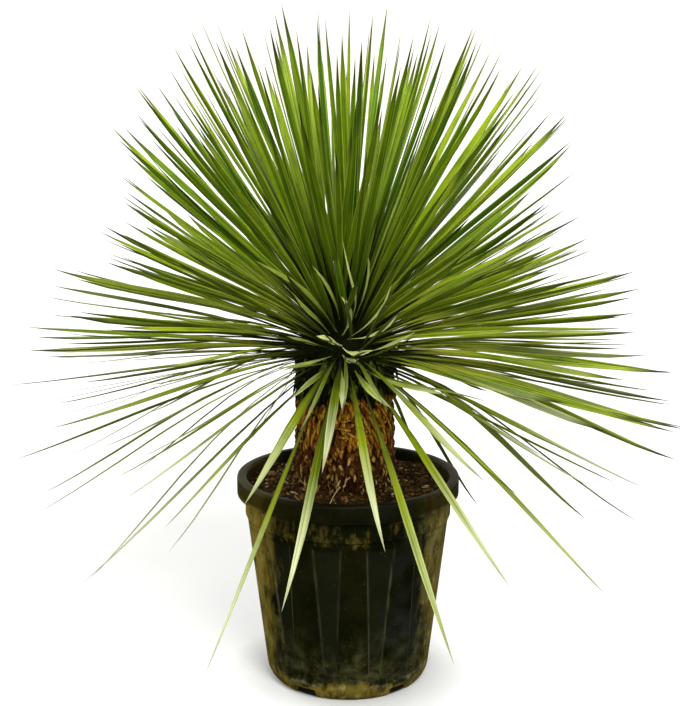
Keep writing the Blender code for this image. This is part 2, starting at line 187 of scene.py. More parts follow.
# %% Prism and copies
def prism(stations, pointed):
    """A six-sided prism from 0 to 1 along Z, cut at the stations. A pointed one ends in a single vertex."""
    bm = bmesh.new()
    bmesh.ops.create_cone(bm, cap_ends=True, segments=6, radius1=1.0, radius2=1.0, depth=1.0)
    bmesh.ops.translate(bm, vec=(0, 0, 0.5), verts=bm.verts)
    for share in stations:
        everything = [*bm.verts, *bm.edges, *bm.faces]
        bmesh.ops.bisect_plane(bm, geom=everything, plane_co=(0, 0, share), plane_no=(0, 0, 1))
    if pointed:
        tip = [vert for vert in bm.verts if vert.co.z > 1 - NEARLY]
        bmesh.ops.pointmerge(bm, verts=tip, merge_co=(0, 0, 1))
    return mesh_of("prism", bm)


def copies(shape, count, value_names):
    """A bmesh with copies of a shape, the vertices of each copy, and a layer for each value."""
    bm = bmesh.new()
    for _ in range(count):
        bm.from_mesh(shape)
    layers = value_layers(bm, value_names)
    bm.verts.ensure_lookup_table()
    size = len(shape.vertices)
    groups = [bm.verts[first : first + size] for first in range(0, count * size, size)]
    return bm, groups, layers


# %% [markdown]
# ## Tools for the finishes
#
# A finish is a small network of shader nodes. Writing a network in full takes many lines, so each helper
# here adds one kind of node, links what goes into it and hands back its output. A value that goes in may
# be a number or another node's output, and an output also says which network the new node belongs to.
# Patterns are laid out in Object coordinates, which are metres on the real plant, or follow values that are
# stored at each piece's vertices, such as how far along its leaf a vertex lies.

# %% Finish helpers
def new_finish(name):
    """A material and its node tree, with its Principled shader."""
    made = bpy.data.materials.new(name)
    made.use_nodes = True
    return made, made.node_tree, made.node_tree.nodes["Principled BSDF"]


def fill(node, inputs):
    """Fills a node's inputs with numbers, colours or other nodes' outputs."""
    for socket, value in inputs.items():
        if isinstance(value, bpy.types.NodeSocket):
            node.id_data.links.new(value, node.inputs[socket])
        else:
            node.inputs[socket].default_value = value


def put(tree, kind, inputs, **settings):
    """Adds a node, applies its settings and fills its inputs."""
    node = tree.nodes.new("ShaderNode" + kind)
    for name, value in settings.items():
        setattr(node, name, value)
    fill(node, inputs)
    return node


def stored(tree, name):
    """A value kept at the vertices."""
    return put(tree, "Attribute", {}, attribute_name=name).outputs["Fac"]


def places(tree, stretch=(1.0, 1.0, 1.0)):
    """Object coordinates, stretched along each axis."""
    here = put(tree, "TexCoord", {}).outputs["Object"]
    return put(tree, "Mapping", {"Vector": here, "Scale": stretch}).outputs["Vector"]


def grain(vector, scale, detail, rough):
    """Cloudy noise from 0 to 1. A scale of 100 gives spots of about 10 mm."""
    inputs = {"Vector": vector, "Scale": scale, "Detail": detail, "Roughness": rough}
    return put(vector.id_data, "TexNoise", inputs).outputs["Fac"]


def maths(operation, first, second=0.0):
    known = first if isinstance(first, bpy.types.NodeSocket) else second
    return put(known.id_data, "Math", {0: first, 1: second}, operation=operation).outputs[0]


def product(first, *others):
    for other in others:
        first = maths("MULTIPLY", first, other)
    return first


def total(first, *others):
    for other in others:
        first = maths("ADD", first, other)
    return first


def span(value, low, high, to_low=0.0, to_high=1.0):
    """Reads a value between two ends and spreads it over another range, without going past the ends."""
    inputs = {"Value": value, "From Min": low, "From Max": high, "To Min": to_low, "To Max": to_high}
    return put(value.id_data, "MapRange", inputs, clamp=True).outputs["Result"]


def blend(share, first, second):
    """Goes from a first colour to a second one."""
    node = put(share.id_data, "Mix", {"Factor": share}, data_type="RGBA")
    for socket, colour in ((6, first), (7, second)):
        fill(node, {socket: (*colour, 1.0) if isinstance(colour, tuple) else colour})
    return node.outputs[2]


def dress(shader, colour, roughness, gloss, height, distance, strength=1.0):
    """Gives the shader its colour, roughness and gloss, and a relief of a height and a distance."""
    normal = put(shader.id_data, "Bump", {"Height": height, "Distance": distance, "Strength": strength})
    fill(shader, {"Base Color": colour, "Roughness": roughness, "Specular IOR Level": gloss})
    fill(shader, {"Normal": normal.outputs["Normal"]})


print("finish helpers ready")

# %% [markdown]
# ## Floor and light
#
# The plant stands on a plain pale floor, so wide that no edge shows. Its light is that of a bright studio:
# a white sky that is palest near the horizon, a broad key light in front, high on the right, a weaker one
# low in front, and a weak one behind on the left that draws the edges of the far leaves. The floor is seen
# by the camera but hidden from bounced light, as if the plant had stood on a dark table. That keeps the
# undersides of the leaves deep, and it is what makes a head of five hundred leaves readable. The floor
# glows a little away from the pot, to stay pale in its shadow. Under the pot it is painted nearly black,
# a painted shadow, so that the drain notches look into the dark.

# %% Make the floor and the lights
FLOOR_RADIUS = 60.0
FLOOR_GLOW = 0.34
GLOW_FROM = 0.095
GLOW_FULL = 0.160
UNDER_POT = 0.0915
BESIDE_POT = 0.0955
SHADOW_UNDER_POT = (0.004, 0.004, 0.003)
PALE_FLOOR = (0.62, 0.64, 0.70)
SKY_BELOW = (0.06, 0.06, 0.035, 1.0)
SKY_HORIZON = (1.20, 1.15, 1.02, 1.0)
SKY_ABOVE = (0.62, 0.61, 0.52, 1.0)
SKY_STOPS = ((0.465, SKY_BELOW), (0.485, SKY_HORIZON), (0.63, SKY_HORIZON), (0.74, SKY_ABOVE))
LIGHTS = (
    # name, the side that it shines from, strength, softness in degrees, colour
    ("key_light", (0.38, -0.95, 1.05), 2.55, 22.0, (1.0, 0.975, 0.86)),
    ("front_light", (-0.12, -1.0, 0.34), 1.2, 30.0, (1.0, 0.98, 0.88)),
    ("rim_light", (-0.85, 0.75, 0.80), 0.9, 30.0, (1.0, 1.0, 0.92)),
)


def add_sun(name, side, strength, softness, colour):
    """A distant light that shines from a side."""
    data = bpy.data.lights.new(name, "SUN")
    data.energy = strength
    data.angle = math.radians(softness)
    data.color = colour
    made = bpy.data.objects.new(name, data)
    made.rotation_euler = (-Vector(side)).to_track_quat("-Z", "Y").to_euler()
    made.location = Vector(side) * 3
    bpy.context.scene.collection.objects.link(made)


def white_sky():
    """A sky whose colour depends only on the height above the horizon."""
    world = bpy.data.worlds.new("white_sky")
    world.use_nodes = True
    tree = world.node_tree
    sight = put(tree, "TexCoord", {}).outputs["Generated"]
    height = put(tree, "SeparateXYZ", {"Vector": sight}).outputs["Z"]
    ramp = put(tree, "ValToRGB", {"Fac": span(height, -1.0, 1.0)})
    stops = ramp.color_ramp.elements
    for index, (position, colour) in enumerate(SKY_STOPS):
        stop = stops[index] if index < len(stops) else stops.new(position)
        stop.position = position
        stop.color = colour
    fill(tree.nodes["Background"], {"Color": ramp.outputs["Color"], "Strength": 1.0})
    return world


def floor_finish():
    finish, tree, shader = new_finish("white_floor")
    from_pot = put(tree, "VectorMath", {0: places(tree)}, operation="LENGTH").outputs["Value"]
    glow = span(from_pot, GLOW_FROM, GLOW_FULL, 0.0, FLOOR_GLOW)
    # painted shadow: the floor is nearly black under the pot and pale beside it
    colour = blend(span(from_pot, UNDER_POT, BESIDE_POT), SHADOW_UNDER_POT, PALE_FLOOR)
    fill(shader, {"Base Color": colour, "Roughness": 0.9})
    fill(shader, {"Emission Color": (1.0, 1.0, 1.0, 1.0), "Emission Strength": glow})
    return finish


bm = bmesh.new()
bmesh.ops.create_circle(bm, cap_ends=True, segments=64, radius=FLOOR_RADIUS)
floor = bpy.data.objects.new("floor", mesh_of("floor", bm))
floor.data.materials.append(floor_finish())
floor.visible_diffuse = False
floor.visible_glossy = False
bpy.context.scene.collection.objects.link(floor)
for light in LIGHTS:
    add_sun(*light)
bpy.context.scene.world = white_sky()
bpy.context.scene.view_settings.view_transform = "Standard"
print("lights:", [light[0] for light in LIGHTS])

# %% [markdown]
# ## The pot
#
# A nursery pot is moulded from thin polypropylene: a deep turned-down rim, a plain collar under it, then a
# tapering wall. Its twelve flutes are wide above and narrow below. Modelling each flute with a cutter would
# leave ragged edges, so the wall is spun with its columns of vertices already grouped in twelves, and the
# columns are slid so that a flute's edges run exactly along them. The rim and the foot are rounded in the
# half section, where a bevel is cheap, before it is spun.

# %% Half section of the pot
POT_HEIGHT = 0.264
RIM_RADIUS = 0.140
RIM_BAND = 0.0235
RIM_WIDTH = 0.0110
RIM_PLATE = 0.0030
RIM_SINK = 0.0040
POT_WALL = 0.0025
BODY_TOP_RADIUS = 0.1298
COLLAR_BOTTOM = 0.2125
COLLAR_STEP = 0.0022
BODY_BOTTOM_RADIUS = 0.1046
BODY_BOTTOM = 0.0220
FOOT_RADIUS = 0.0945
FOOT_WIDTH = 0.0050
FOOT_HEIGHT = 0.0090
FLUTE_TOP = 0.2075
FLUTE_BOTTOM = 0.0330
FLUTE_END = 0.0070
FLUTE_RINGS = 14


def body_radius(height):
    """The outside of the pot's tapering wall below the collar."""
    top = (COLLAR_BOTTOM, BODY_TOP_RADIUS - COLLAR_STEP)
    return between(((BODY_BOTTOM, BODY_BOTTOM_RADIUS), top), height)


def flute_heights():
    """Rings up the wall: close together at the sloping ends of the flutes, even between them."""
    inner_low = FLUTE_BOTTOM + FLUTE_END
    inner_high = FLUTE_TOP - FLUTE_END
    low_end = [FLUTE_BOTTOM + FLUTE_END * step / 4 for step in range(4)]
    middle = [inner_low + (inner_high - inner_low) * step / FLUTE_RINGS for step in range(FLUTE_RINGS)]
    high_end = [inner_high + FLUTE_END * step / 4 for step in range(5)]
    return low_end + middle + high_end


def pot_section():
    """(radius, height, rounding) from under the floor, up the outside, over the rim and down inside."""
    collar_edge = COLLAR_BOTTOM + COLLAR_STEP / 2
    rim_bottom = POT_HEIGHT - RIM_BAND
    wall_in = BODY_TOP_RADIUS - POT_WALL
    skirt_in = RIM_RADIUS - POT_WALL
    floor_top = FOOT_HEIGHT + POT_WALL
    heights = flute_heights()
    outside = [
        (0.0, FOOT_HEIGHT, 0),
        (FOOT_RADIUS - FOOT_WIDTH - 0.001, FOOT_HEIGHT, 0.001),
        (FOOT_RADIUS - FOOT_WIDTH, 0.0, 0.001),
        (FOOT_RADIUS, 0.0, 0.0012),
        (BODY_BOTTOM_RADIUS - 0.0048, 0.0052, 0.0026),
        (BODY_BOTTOM_RADIUS - 0.0012, 0.0130, 0.0030),
        (BODY_BOTTOM_RADIUS, BODY_BOTTOM, 0.0030),
        *((body_radius(height), height, 0) for height in heights),
        (body_radius(COLLAR_BOTTOM), COLLAR_BOTTOM, 0.0006),
        (BODY_TOP_RADIUS, collar_edge + 0.001, 0.0012),
        (BODY_TOP_RADIUS, POT_HEIGHT - RIM_PLATE, 0),
    ]
    rim = [
        (skirt_in, POT_HEIGHT - RIM_PLATE, 0.0006),
        (skirt_in, rim_bottom, 0.0008),
        (RIM_RADIUS, rim_bottom, 0.0012),
        (RIM_RADIUS, POT_HEIGHT, 0.0036),
        (RIM_RADIUS - RIM_WIDTH, POT_HEIGHT, 0.0022),
    ]
    inside = [
        (wall_in, POT_HEIGHT - RIM_SINK, 0.0012),
        (wall_in, collar_edge + POT_WALL, 0),
        *((body_radius(height) - POT_WALL, height, 0) for height in (0.205, 0.035)),
        (BODY_BOTTOM_RADIUS - POT_WALL, BODY_BOTTOM, 0),
        (FOOT_RADIUS, floor_top, 0),
        (0.0, floor_top, 0),
    ]
    return outside + rim + inside


print("pot section:", len(pot_section()), "points")

# %% [markdown]
# Rounding a corner of the section swaps its point for a short arc. The arc starts as far before the corner
# as it ends behind it, so its points follow from a quadratic curve that is pulled towards the corner.

# %% Round the section
ARC_STEPS = 4


def rounded(section):
    """The section's points, with an arc at each corner that has a rounding."""
    points = []
    for index, (radius, height, rounding) in enumerate(section):
        corner = Vector((radius, 0.0, height))
        if not rounding:
            points.append(corner)
            continue
        start, end = (
            corner + (Vector((near[0], 0.0, near[1])) - corner).normalized() * rounding
            for near in (section[index - 1], section[index + 1])
        )
        for step in range(ARC_STEPS + 1):
            share = step / ARC_STEPS
            points.append(start.lerp(corner, share).lerp(corner.lerp(end, share), share))
    return points


print("rounded:", len(rounded(pot_section())), "points")

# %% [markdown]
# The flutes are pressed by moving vertices. For each of the columns in a group there is an angle from the
# flute's middle, which depends on the height, and a share of the depth. The slope of a flute's side is also
# kept as a value at the vertices, `edge`, because that is where the real pot is scuffed.

# %% Press the flutes and cut the drain notches
FLUTES = 12
FLUTE_BEARING = 18.3
FLUTE_DEPTH = 0.0020
FLUTE_HALF_TOP = 9.0
FLUTE_HALF_BOTTOM = 5.0
FLUTE_SIDE = 2.2
SIDE_DEPTHS = (0.0, 0.15, 0.5, 0.85, 1.0)
FLOOR_COLUMNS = 5
RIB_COLUMNS = 5
COLUMN_DEPTHS = SIDE_DEPTHS + (1.0,) * FLOOR_COLUMNS + SIDE_DEPTHS[::-1] + (0.0,) * RIB_COLUMNS
NOTCHES = 5
NOTCH_BEARING = 40.0
NOTCH_BLOCK = (0.031, 0.040, 0.0228)
NOTCH_MIDDLE = (0.0, -0.100, 0.0014)


def column_angles(height):
    """Angles from a flute's middle: its two sides in four steps each, its floor, and the rib beside it."""
    share = min(1.0, max(0.0, (height - FLUTE_BOTTOM) / (FLUTE_TOP - FLUTE_BOTTOM)))
    edge = FLUTE_HALF_BOTTOM + share * (FLUTE_HALF_TOP - FLUTE_HALF_BOTTOM)
    side = [edge - FLUTE_SIDE * step / 4 for step in range(5)]
    middle = [side[4] * (2 * step / (FLOOR_COLUMNS + 1) - 1) for step in range(1, FLOOR_COLUMNS + 1)]
    rib_width = 360 / FLUTES - 2 * edge
    rib = [edge + rib_width * step / (RIB_COLUMNS + 1) for step in range(1, RIB_COLUMNS + 1)]
    return [-angle for angle in side] + middle + side[::-1] + rib


def press_flutes(bm, layers):
    """Slides every column of vertices to its flute, and presses those of the outer wall in."""
    columns = len(COLUMN_DEPTHS)
    step = 2 * math.pi / (FLUTES * columns)
    for vert in bm.verts:
        height = vert.co.z
        radius = math.hypot(vert.co.x, vert.co.y)
        number, column = divmod(round(math.atan2(vert.co.y, vert.co.x) / step), columns)
        bearing = FLUTE_BEARING + number * 360 / FLUTES + column_angles(height)[column]
        on_wall = radius > body_radius(height) - NEARLY and BODY_BOTTOM < height < COLLAR_BOTTOM
        above = smooth_step(FLUTE_BOTTOM, FLUTE_BOTTOM + FLUTE_END, height)
        below = 1 - smooth_step(FLUTE_TOP - FLUTE_END, FLUTE_TOP, height)
        pressed = above * below * on_wall
        place = direction(bearing, 0.0) * (radius - FLUTE_DEPTH * COLUMN_DEPTHS[column] * pressed)
        vert.co = (place.x, place.y, height)
        vert[layers["edge"]] = (1.0 - abs(2 * COLUMN_DEPTHS[column] - 1.0)) * pressed
        vert[layers["panel"]] = COLUMN_DEPTHS[column] * pressed


def cut_notches(pot):
    """Takes five blocks out of the foot with one Boolean, applied at once."""
    blocks = bpy.data.collections.new("notch_blocks")
    bpy.context.scene.collection.children.link(blocks)
    for number in range(NOTCHES):
        bm = bmesh.new()
        bmesh.ops.create_cube(bm, size=1.0)
        bmesh.ops.scale(bm, vec=NOTCH_BLOCK, verts=bm.verts)
        bmesh.ops.translate(bm, vec=NOTCH_MIDDLE, verts=bm.verts)
        turn = Matrix.Rotation(math.radians(NOTCH_BEARING + number * 360 / NOTCHES), 3, "Z")
        bmesh.ops.rotate(bm, cent=(0, 0, 0), matrix=turn, verts=bm.verts)
        blocks.objects.link(bpy.data.objects.new("notch_block", mesh_of("notch_block", bm)))
    cut = pot.modifiers.new("Notches", "BOOLEAN")
    cut.operation = "DIFFERENCE"
    cut.operand_type = "COLLECTION"
    cut.collection = blocks
    made = bpy.data.meshes.new_from_object(pot.evaluated_get(bpy.context.evaluated_depsgraph_get()))
    pot.modifiers.clear()
    pot.data = made
    for block in list(blocks.objects):
        bpy.data.objects.remove(block)
    bpy.data.collections.remove(blocks)


# %% [markdown]
# The pot's plastic was black once. Years in a nursery left three things on it: a brown and olive film of
# dirt, which lies in runs on the two sides and rises on the foot between the drain notches; a brown stain
# on the sides of the rim; and pale scuffs along the edges of the flutes. The plastic is also weathered in
# patches, and on the right those patches are painted blue-grey, a painted sheen of the light. Inside the
# drain notches the plastic is painted nearly black, a painted shade. Each one is a mask, and the base
# colour goes through the masks one after another. Where the film is thick the surface is also duller.

# %% Finish of the pot
def pot_finish():
    finish, tree, shader = new_finish("weathered_black_plastic")
    here = places(tree)
    apart = put(tree, "SeparateXYZ", {"Vector": here}).outputs
    height = apart["Z"]
    sideways = maths("ABSOLUTE", apart["X"])
    streaks = grain(places(tree, (1.0, 1.0, 0.12)), 95.0, 5.0, 0.65)
    clouds = grain(here, 22.0, 5.0, 0.6)
    coarse = grain(here, 70.0, 5.0, 0.7)
    specks = grain(here, 420.0, 3.0, 0.6)
    runs = grain(places(tree, (1.0, 1.0, 0.38)), 75.0, 6.0, 0.72)
    patchy = grain(places(tree, (1.0, 1.0, 0.30)), 17.0, 2.0, 0.5)

    # the plastic, weathered in patches, with a painted blue-grey sheen on the right and a little more grey
    # in the flutes
    weathered = span(clouds, 0.42, 0.66)
    plastic = blend(weathered, (0.0034, 0.0041, 0.0004), (0.0078, 0.0088, 0.0018))
    # painted sheen: blue-grey on the weathered patches of the right side
    bluish_sheen = product(span(apart["X"], 0.02, 0.07), weathered)
    plastic = blend(bluish_sheen, plastic, (0.0095, 0.0120, 0.0120))
    panel = product(stored(tree, "panel"), 0.55)
    plastic = blend(panel, plastic, (0.0095, 0.0112, 0.0060))

    # where the film of dirt lies: on the foot in lobes, on the collar and on both sides
    bearing = maths("ARCTAN2", apart["X"], product(apart["Y"], -1.0))
    from_lobe = maths("SUBTRACT", bearing, math.radians(NOTCH_BEARING + 180 / NOTCHES))
    lobes = maths("COSINE", product(from_lobe, float(NOTCHES)))
    wavy = total(maths("SUBTRACT", height, product(lobes, 0.006)), product(clouds, 0.03))
    foot = span(wavy, 0.026, 0.046, 1.0, 0.0)
    on_collar = product(span(height, 0.190, 0.214), span(height, 0.237, 0.243, 1.0, 0.0))
    on_sides = span(sideways, 0.070, 0.116)
    most = maths("MAXIMUM", maths("MAXIMUM", foot, product(on_collar, 0.35)), on_sides)
    amount = total(product(most, 0.70), product(runs, 0.80), product(clouds, 0.40))
    film = product(span(amount, 0.84, 1.22), span(height, 0.240, 0.246, 1.0, 0.10))

    # the colours of the film
    mud = blend(span(clouds, 0.40, 0.62), (0.255, 0.188, 0.028), (0.155, 0.136, 0.024))
    mud = blend(span(apart["X"], 0.05, 0.10, 0.0, 0.45), mud, (0.060, 0.064, 0.040))
    mud = blend(product(foot, 0.55), mud, (0.060, 0.040, 0.006))
    mud = blend(span(coarse, 0.53, 0.64, 0.0, 0.7), mud, (0.300, 0.240, 0.070))
    mud = blend(span(runs, 0.36, 0.50, 0.75, 0.0), mud, (0.024, 0.018, 0.003))

    # one after another: grime low down, the stain on the rim, the film, the worn corner above the foot
    ragged = maths("SUBTRACT", height, product(clouds, 0.16))
    grime = product(span(ragged, -0.055, 0.010, 1.0, 0.0), span(coarse, 0.42, 0.70, 0.0, 0.8))
    colour = blend(grime, plastic, (0.064, 0.062, 0.026))
    rim_dirt = product(span(height, 0.238, 0.243), span(patchy, 0.34, 0.60), span(sideways, 0.040, 0.110))
    colour = blend(product(rim_dirt, 0.8), colour, (0.018, 0.0135, 0.0008))
    colour = blend(film, colour, mud)
    from_corner = maths("ABSOLUTE", maths("SUBTRACT", height, BODY_BOTTOM - 0.001))
    worn = product(span(from_corner, 0.0, 0.005, 1.0, 0.0), span(coarse, 0.50, 0.64))
    colour = blend(product(worn, 0.6), colour, (0.240, 0.220, 0.110))

    # then the scuffed edges of the flutes, dust, and painted shade in the notches
    patches = span(patchy, 0.40, 0.60, 0.25, 0.75)
    scuff = product(stored(tree, "edge"), span(streaks, 0.36, 0.66), patches)
    colour = blend(scuff, colour, (0.120, 0.122, 0.078))
    colour = blend(span(specks, 0.66, 0.80, 0.0, 0.5), colour, (0.160, 0.150, 0.120))
    level = put(tree, "CombineXYZ", {"X": apart["X"], "Y": apart["Y"]}).outputs["Vector"]
    from_axis = put(tree, "VectorMath", {0: level}, operation="LENGTH").outputs["Value"]
    # painted shade: the faces inside the drain notches are nearly black
    shade_in_notch = product(span(from_axis, 0.0910, 0.0935, 1.0, 0.0), span(height, 0.0125, 0.0135, 1.0, 0.0))
    colour = blend(shade_in_notch, colour, (0.002, 0.002, 0.001))
    rough = span(film, 0.0, 1.0, 0.42, 0.80)
    dress(shader, colour, rough, 0.055, total(film, product(specks, 0.5)), 0.0004, 0.6)
    return finish


# %% Build the pot
bm = spun(rounded(pot_section()), FLUTES * len(COLUMN_DEPTHS))
press_flutes(bm, value_layers(bm, ("edge", "panel")))
pot = add_piece("nursery_pot", bm, pot_finish(), "pot")
cut_notches(pot)
print("pot with notches:", len(pot.data.polygons), "faces")

# %% [markdown]
# ## The soil
#
# The pot is filled with a coarse mix of composted bark. Its surface has lumps, from a thumb's width down to
# a few millimetres, which are moves of the surface itself, and loose chips lying on it, which are separate
# small solids. It is spun like the pot, with many rings where it shows and few where the wall hides it.

# %% Surface of the soil
SOIL_AT_WALL = 0.2500
SOIL_AT_TRUNK = 0.2550
SOIL_EDGE = 0.1262
SOIL_RINGS = 34
SOIL_STEPS = 150
TRUNK_X = -0.004
TRUNK_HOLE = 0.0500
SOIL_HIDDEN = ((0.0, 0.0125), (0.0900, 0.0125), (0.0985, 0.0245), (0.1215, 0.2100), (SOIL_EDGE, 0.2180))
LUMPS = ((0.030, 0.0022), (0.011, 0.0020), (0.0045, 0.0013))


def soil_height(place):
    """Height of the soil's surface at a place."""
    share = (SOIL_EDGE - math.hypot(place.x, place.y)) / (SOIL_EDGE - TRUNK_HOLE)
    height = SOIL_AT_WALL + (SOIL_AT_TRUNK - SOIL_AT_WALL) * min(1.0, share)
    for size, rise in LUMPS:
        height += rise * noise.noise(Vector((place.x, place.y, 0.0)) / size)
    return height


def build_soil(finish):
    radii = [SOIL_EDGE * (1 - ring / SOIL_RINGS) for ring in range(SOIL_RINGS + 1)]
    surface = [(radius, SOIL_AT_WALL) for radius in radii]
    bm = spun([(radius, 0.0, height) for radius, height in (*SOIL_HIDDEN, *surface)], SOIL_STEPS)
    for vert in bm.verts:
        if vert.co.z > SOIL_AT_WALL - NEARLY:
            vert.co.z = soil_height(vert.co)
    return add_piece("bark_soil", bm, finish, "soil")


# %% [markdown]
# The bark is nearly black where it is damp and red-brown where a chip has dried. A few grains are pale, as
# pumice and sand are. The same finish serves the loose chips, so each chip brings its own value, `tone`.

# %% Finish of the soil
def soil_finish():
    finish, tree, shader = new_finish("damp_bark")
    here = places(tree)
    coarse = grain(here, 60.0, 4.0, 0.6)
    fine = grain(here, 330.0, 4.0, 0.7)
    pieces = put(tree, "TexVoronoi", {"Vector": here, "Scale": 210.0}).outputs["Color"]
    piece_tone = put(tree, "SeparateColor", {"Color": pieces}).outputs[0]
    tone = maths("MAXIMUM", stored(tree, "tone"), product(piece_tone, 0.75))
    colour = blend(span(fine, 0.40, 0.70), (0.0025, 0.0016, 0.0006), (0.048, 0.026, 0.007))
    dry = product(span(tone, 0.45, 0.95), span(coarse, 0.36, 0.60))
    colour = blend(dry, colour, (0.200, 0.102, 0.022))
    pale = product(span(tone, 0.93, 0.99), 0.75)
    colour = blend(pale, colour, (0.46, 0.36, 0.20))
    dress(shader, colour, 0.88, 0.06, total(fine, piece_tone), 0.0008)
    return finish


damp_bark = soil_finish()
build_soil(damp_bark)

# %% [markdown]
# A chip is the simplest closed shape with no flat look: a ball of twenty faces, pulled long and flat and
# pushed out of shape. Each one gets its own size, turn and push, and sinks a quarter of its thickness into
# the surface, so that none of them floats.

# %% Scatter the bark chips
CHIPS = 1500
CHIP_RING = (0.058, 0.1225)
CHIP_SHORTEST = 0.0040
CHIP_LONGEST = 0.0130
CHIP_WIDTHS = (0.35, 0.75)
CHIP_THICKNESSES = (0.14, 0.35)
CHIP_PUSH = (0.82, 1.18)
CHIP_SEED = 5


def scatter_chips(finish):
    draw = random.Random(CHIP_SEED)
    bm = bmesh.new()
    layers = value_layers(bm, ("tone",))
    for _ in range(CHIPS):
        radius = math.sqrt(draw.uniform(CHIP_RING[0] ** 2, CHIP_RING[1] ** 2))
        place = direction(draw.uniform(0, 360), 0.0) * radius
        length = CHIP_SHORTEST + (CHIP_LONGEST - CHIP_SHORTEST) * draw.random() ** 2.5
        size = (length, length * draw.uniform(*CHIP_WIDTHS), length * draw.uniform(*CHIP_THICKNESSES))
        turned = Matrix.Rotation(draw.uniform(0, math.tau), 3, "Z")
        turned = turned @ Matrix.Rotation(draw.gauss(0, 0.5), 3, "X")
        turned = turned @ Matrix.Rotation(draw.gauss(0, 0.4), 3, "Y")
        made = bmesh.ops.create_icosphere(bm, subdivisions=1, radius=0.5)["verts"]
        tone = draw.random()
        for vert in made:
            shape = Vector(a * b for a, b in zip(vert.co, size)) * draw.uniform(*CHIP_PUSH)
            vert.co = turned @ shape
            vert[layers["tone"]] = tone
        lift = soil_height(place) + size[2] * 0.25
        bmesh.ops.translate(bm, vec=(place.x, place.y, lift), verts=made)
    return add_piece("bark_chips", bm, finish, "soil", smooth=False)


scatter_chips(damp_bark)

# %% [markdown]
# One thin dead root comes down from the trunk's foot in front, and lies over the lumps almost to the rim.
# It is a prism too. Its start leans on the trunk, a little above the soil.

# %% Lay the dead root
ROOT_STATIONS = [cut / 10 for cut in range(1, 10)]
ROOT_START = Vector((-0.0100, -0.0680))
ROOT_END = Vector((-0.0245, -0.1120))
ROOT_BOW = Vector((0.0016, 0.0))
ROOT_LEAN = 0.0085
ROOT_THICKNESS = 0.0012

bm, groups, layers = copies(prism(ROOT_STATIONS, False), 1, ("tone",))
for vert in groups[0]:
    share = vert.co.z
    level = ROOT_START.lerp(ROOT_END, share) - ROOT_BOW * math.sin(math.pi * share)
    lift = soil_height(level.to_3d()) + 0.0015 + ROOT_LEAN * (1 - share) ** 1.6
    vert[layers["tone"]] = 1.0
    half = ROOT_THICKNESS / 2
    vert.co = Vector((level.x + vert.co.x * half, level.y, lift + vert.co.y * half))
add_piece("dead_root", bm, damp_bark, "soil")

# %% [markdown]
# ## The trunk
#
# A yucca's trunk is wrapped in what is left of its old leaves: each leaf dies back to a short, tough,
# fibrous scale. The scales overlap like shingles, hang down, and swell like grains of rice. Under them is a
# plain round stem, which shows only as darkness in the gaps. So the trunk is two pieces: a rough stem, and
# more than a thousand grains of a few dozen faces, each bent, tilted and shaded on its own.

# %% Stem under the scales
TRUNK_TOP = 0.3660
TRUNK_BOTTOM = 0.1705
STEM_TOP = TRUNK_TOP - 0.004
STEM_RADII = ((0.17, 0.0515), (0.25, 0.06), (0.27, 0.059), (0.30, 0.057), (0.33, 0.0565), (0.366, 0.055))
STEM_RINGS = 60
STEM_STEPS = 96
STEM_ROUGHNESS = 0.0016
STEM_LUMP = 0.004


def build_stem(finish):
    rise = STEM_TOP - TRUNK_BOTTOM
    heights = [TRUNK_BOTTOM + rise * ring / STEM_RINGS for ring in range(STEM_RINGS + 1)]
    wall = [(between(STEM_RADII, height), 0.0, height) for height in heights]
    bm = spun([(0.0, 0.0, TRUNK_BOTTOM), *wall, (0.0, 0.0, STEM_TOP)], STEM_STEPS)
    for vert in bm.verts:
        if math.hypot(vert.co.x, vert.co.y) > 0.01:
            place = Vector((vert.co.x, vert.co.y, vert.co.z * 0.4))
            vert.co.xy *= 1 + STEM_ROUGHNESS * noise.noise(place / STEM_LUMP) / 0.06
    bmesh.ops.translate(bm, vec=(TRUNK_X, 0.0, 0.0), verts=bm.verts)
    return add_piece("trunk_stem", bm, finish, "trunk")


# %% [markdown]
# One grain is the prism with three cuts, fat in the middle and narrow at its lower end. The rows go up from
# the soil. They are small and untidy at the bottom, where the oldest scales have rotted, and long and clean
# above. Here and there a grain lies askew.

# %% Grains of the trunk
GRAIN_STATIONS = (0.2, 0.5, 0.8)
GRAIN_WIDTHS = ((0.0, 0.45), (0.2, 0.88), (0.5, 1.0), (0.8, 0.78), (1.0, 0.30))
GRAIN_SPACING = 0.0056
GRAIN_ROW = 0.0080
GRAIN_SUNK = 0.0030
GRAIN_LENGTH = (0.0100, 0.0200)
GRAIN_WIDTH = (0.0040, 0.0078)
GRAIN_THICKNESS = (0.0020, 0.0038)
GRAIN_FLARE = (0.02, 0.22)
UNTIDY = 2.2
GRAINS_FROM = 0.2500
GRAINS_TO = 0.3800
GRAIN_SEED = 23
ASKEW = 0.16
GRAIN_RADII = ((0.250, 0.0650), (0.262, 0.0640), (0.290, 0.0614), (0.330, 0.0608), (0.372, 0.0590))
GRAIN_VALUES = ("tone", "along", "across")
HEXAGON_SIDE = 0.866


def lay_grain(group, layers, bearing, root, flare, lean, size, tone):
    """Lays one prism, which hangs from its root and swells outwards in its middle."""
    length, width, thick = size
    out = direction(bearing, 0.0)
    down = (Vector((0.0, 0.0, -1.0)) + out * flare + direction(bearing + 90.0, 0.0) * lean).normalized()
    side = out.cross(down).normalized()
    for vert in group:
        share = vert.co.z
        fat = between(GRAIN_WIDTHS, share)
        offset = vert.co.x / HEXAGON_SIDE
        swell = thick * (0.8 * math.sin(math.pi * share) - 0.5 * fat * vert.co.y)
        vert[layers["across"]] = abs(offset)
        vert[layers["along"]] = share
        vert[layers["tone"]] = tone
        vert.co = root + down * (length * share) + side * (offset * width / 2 * fat) + out * swell


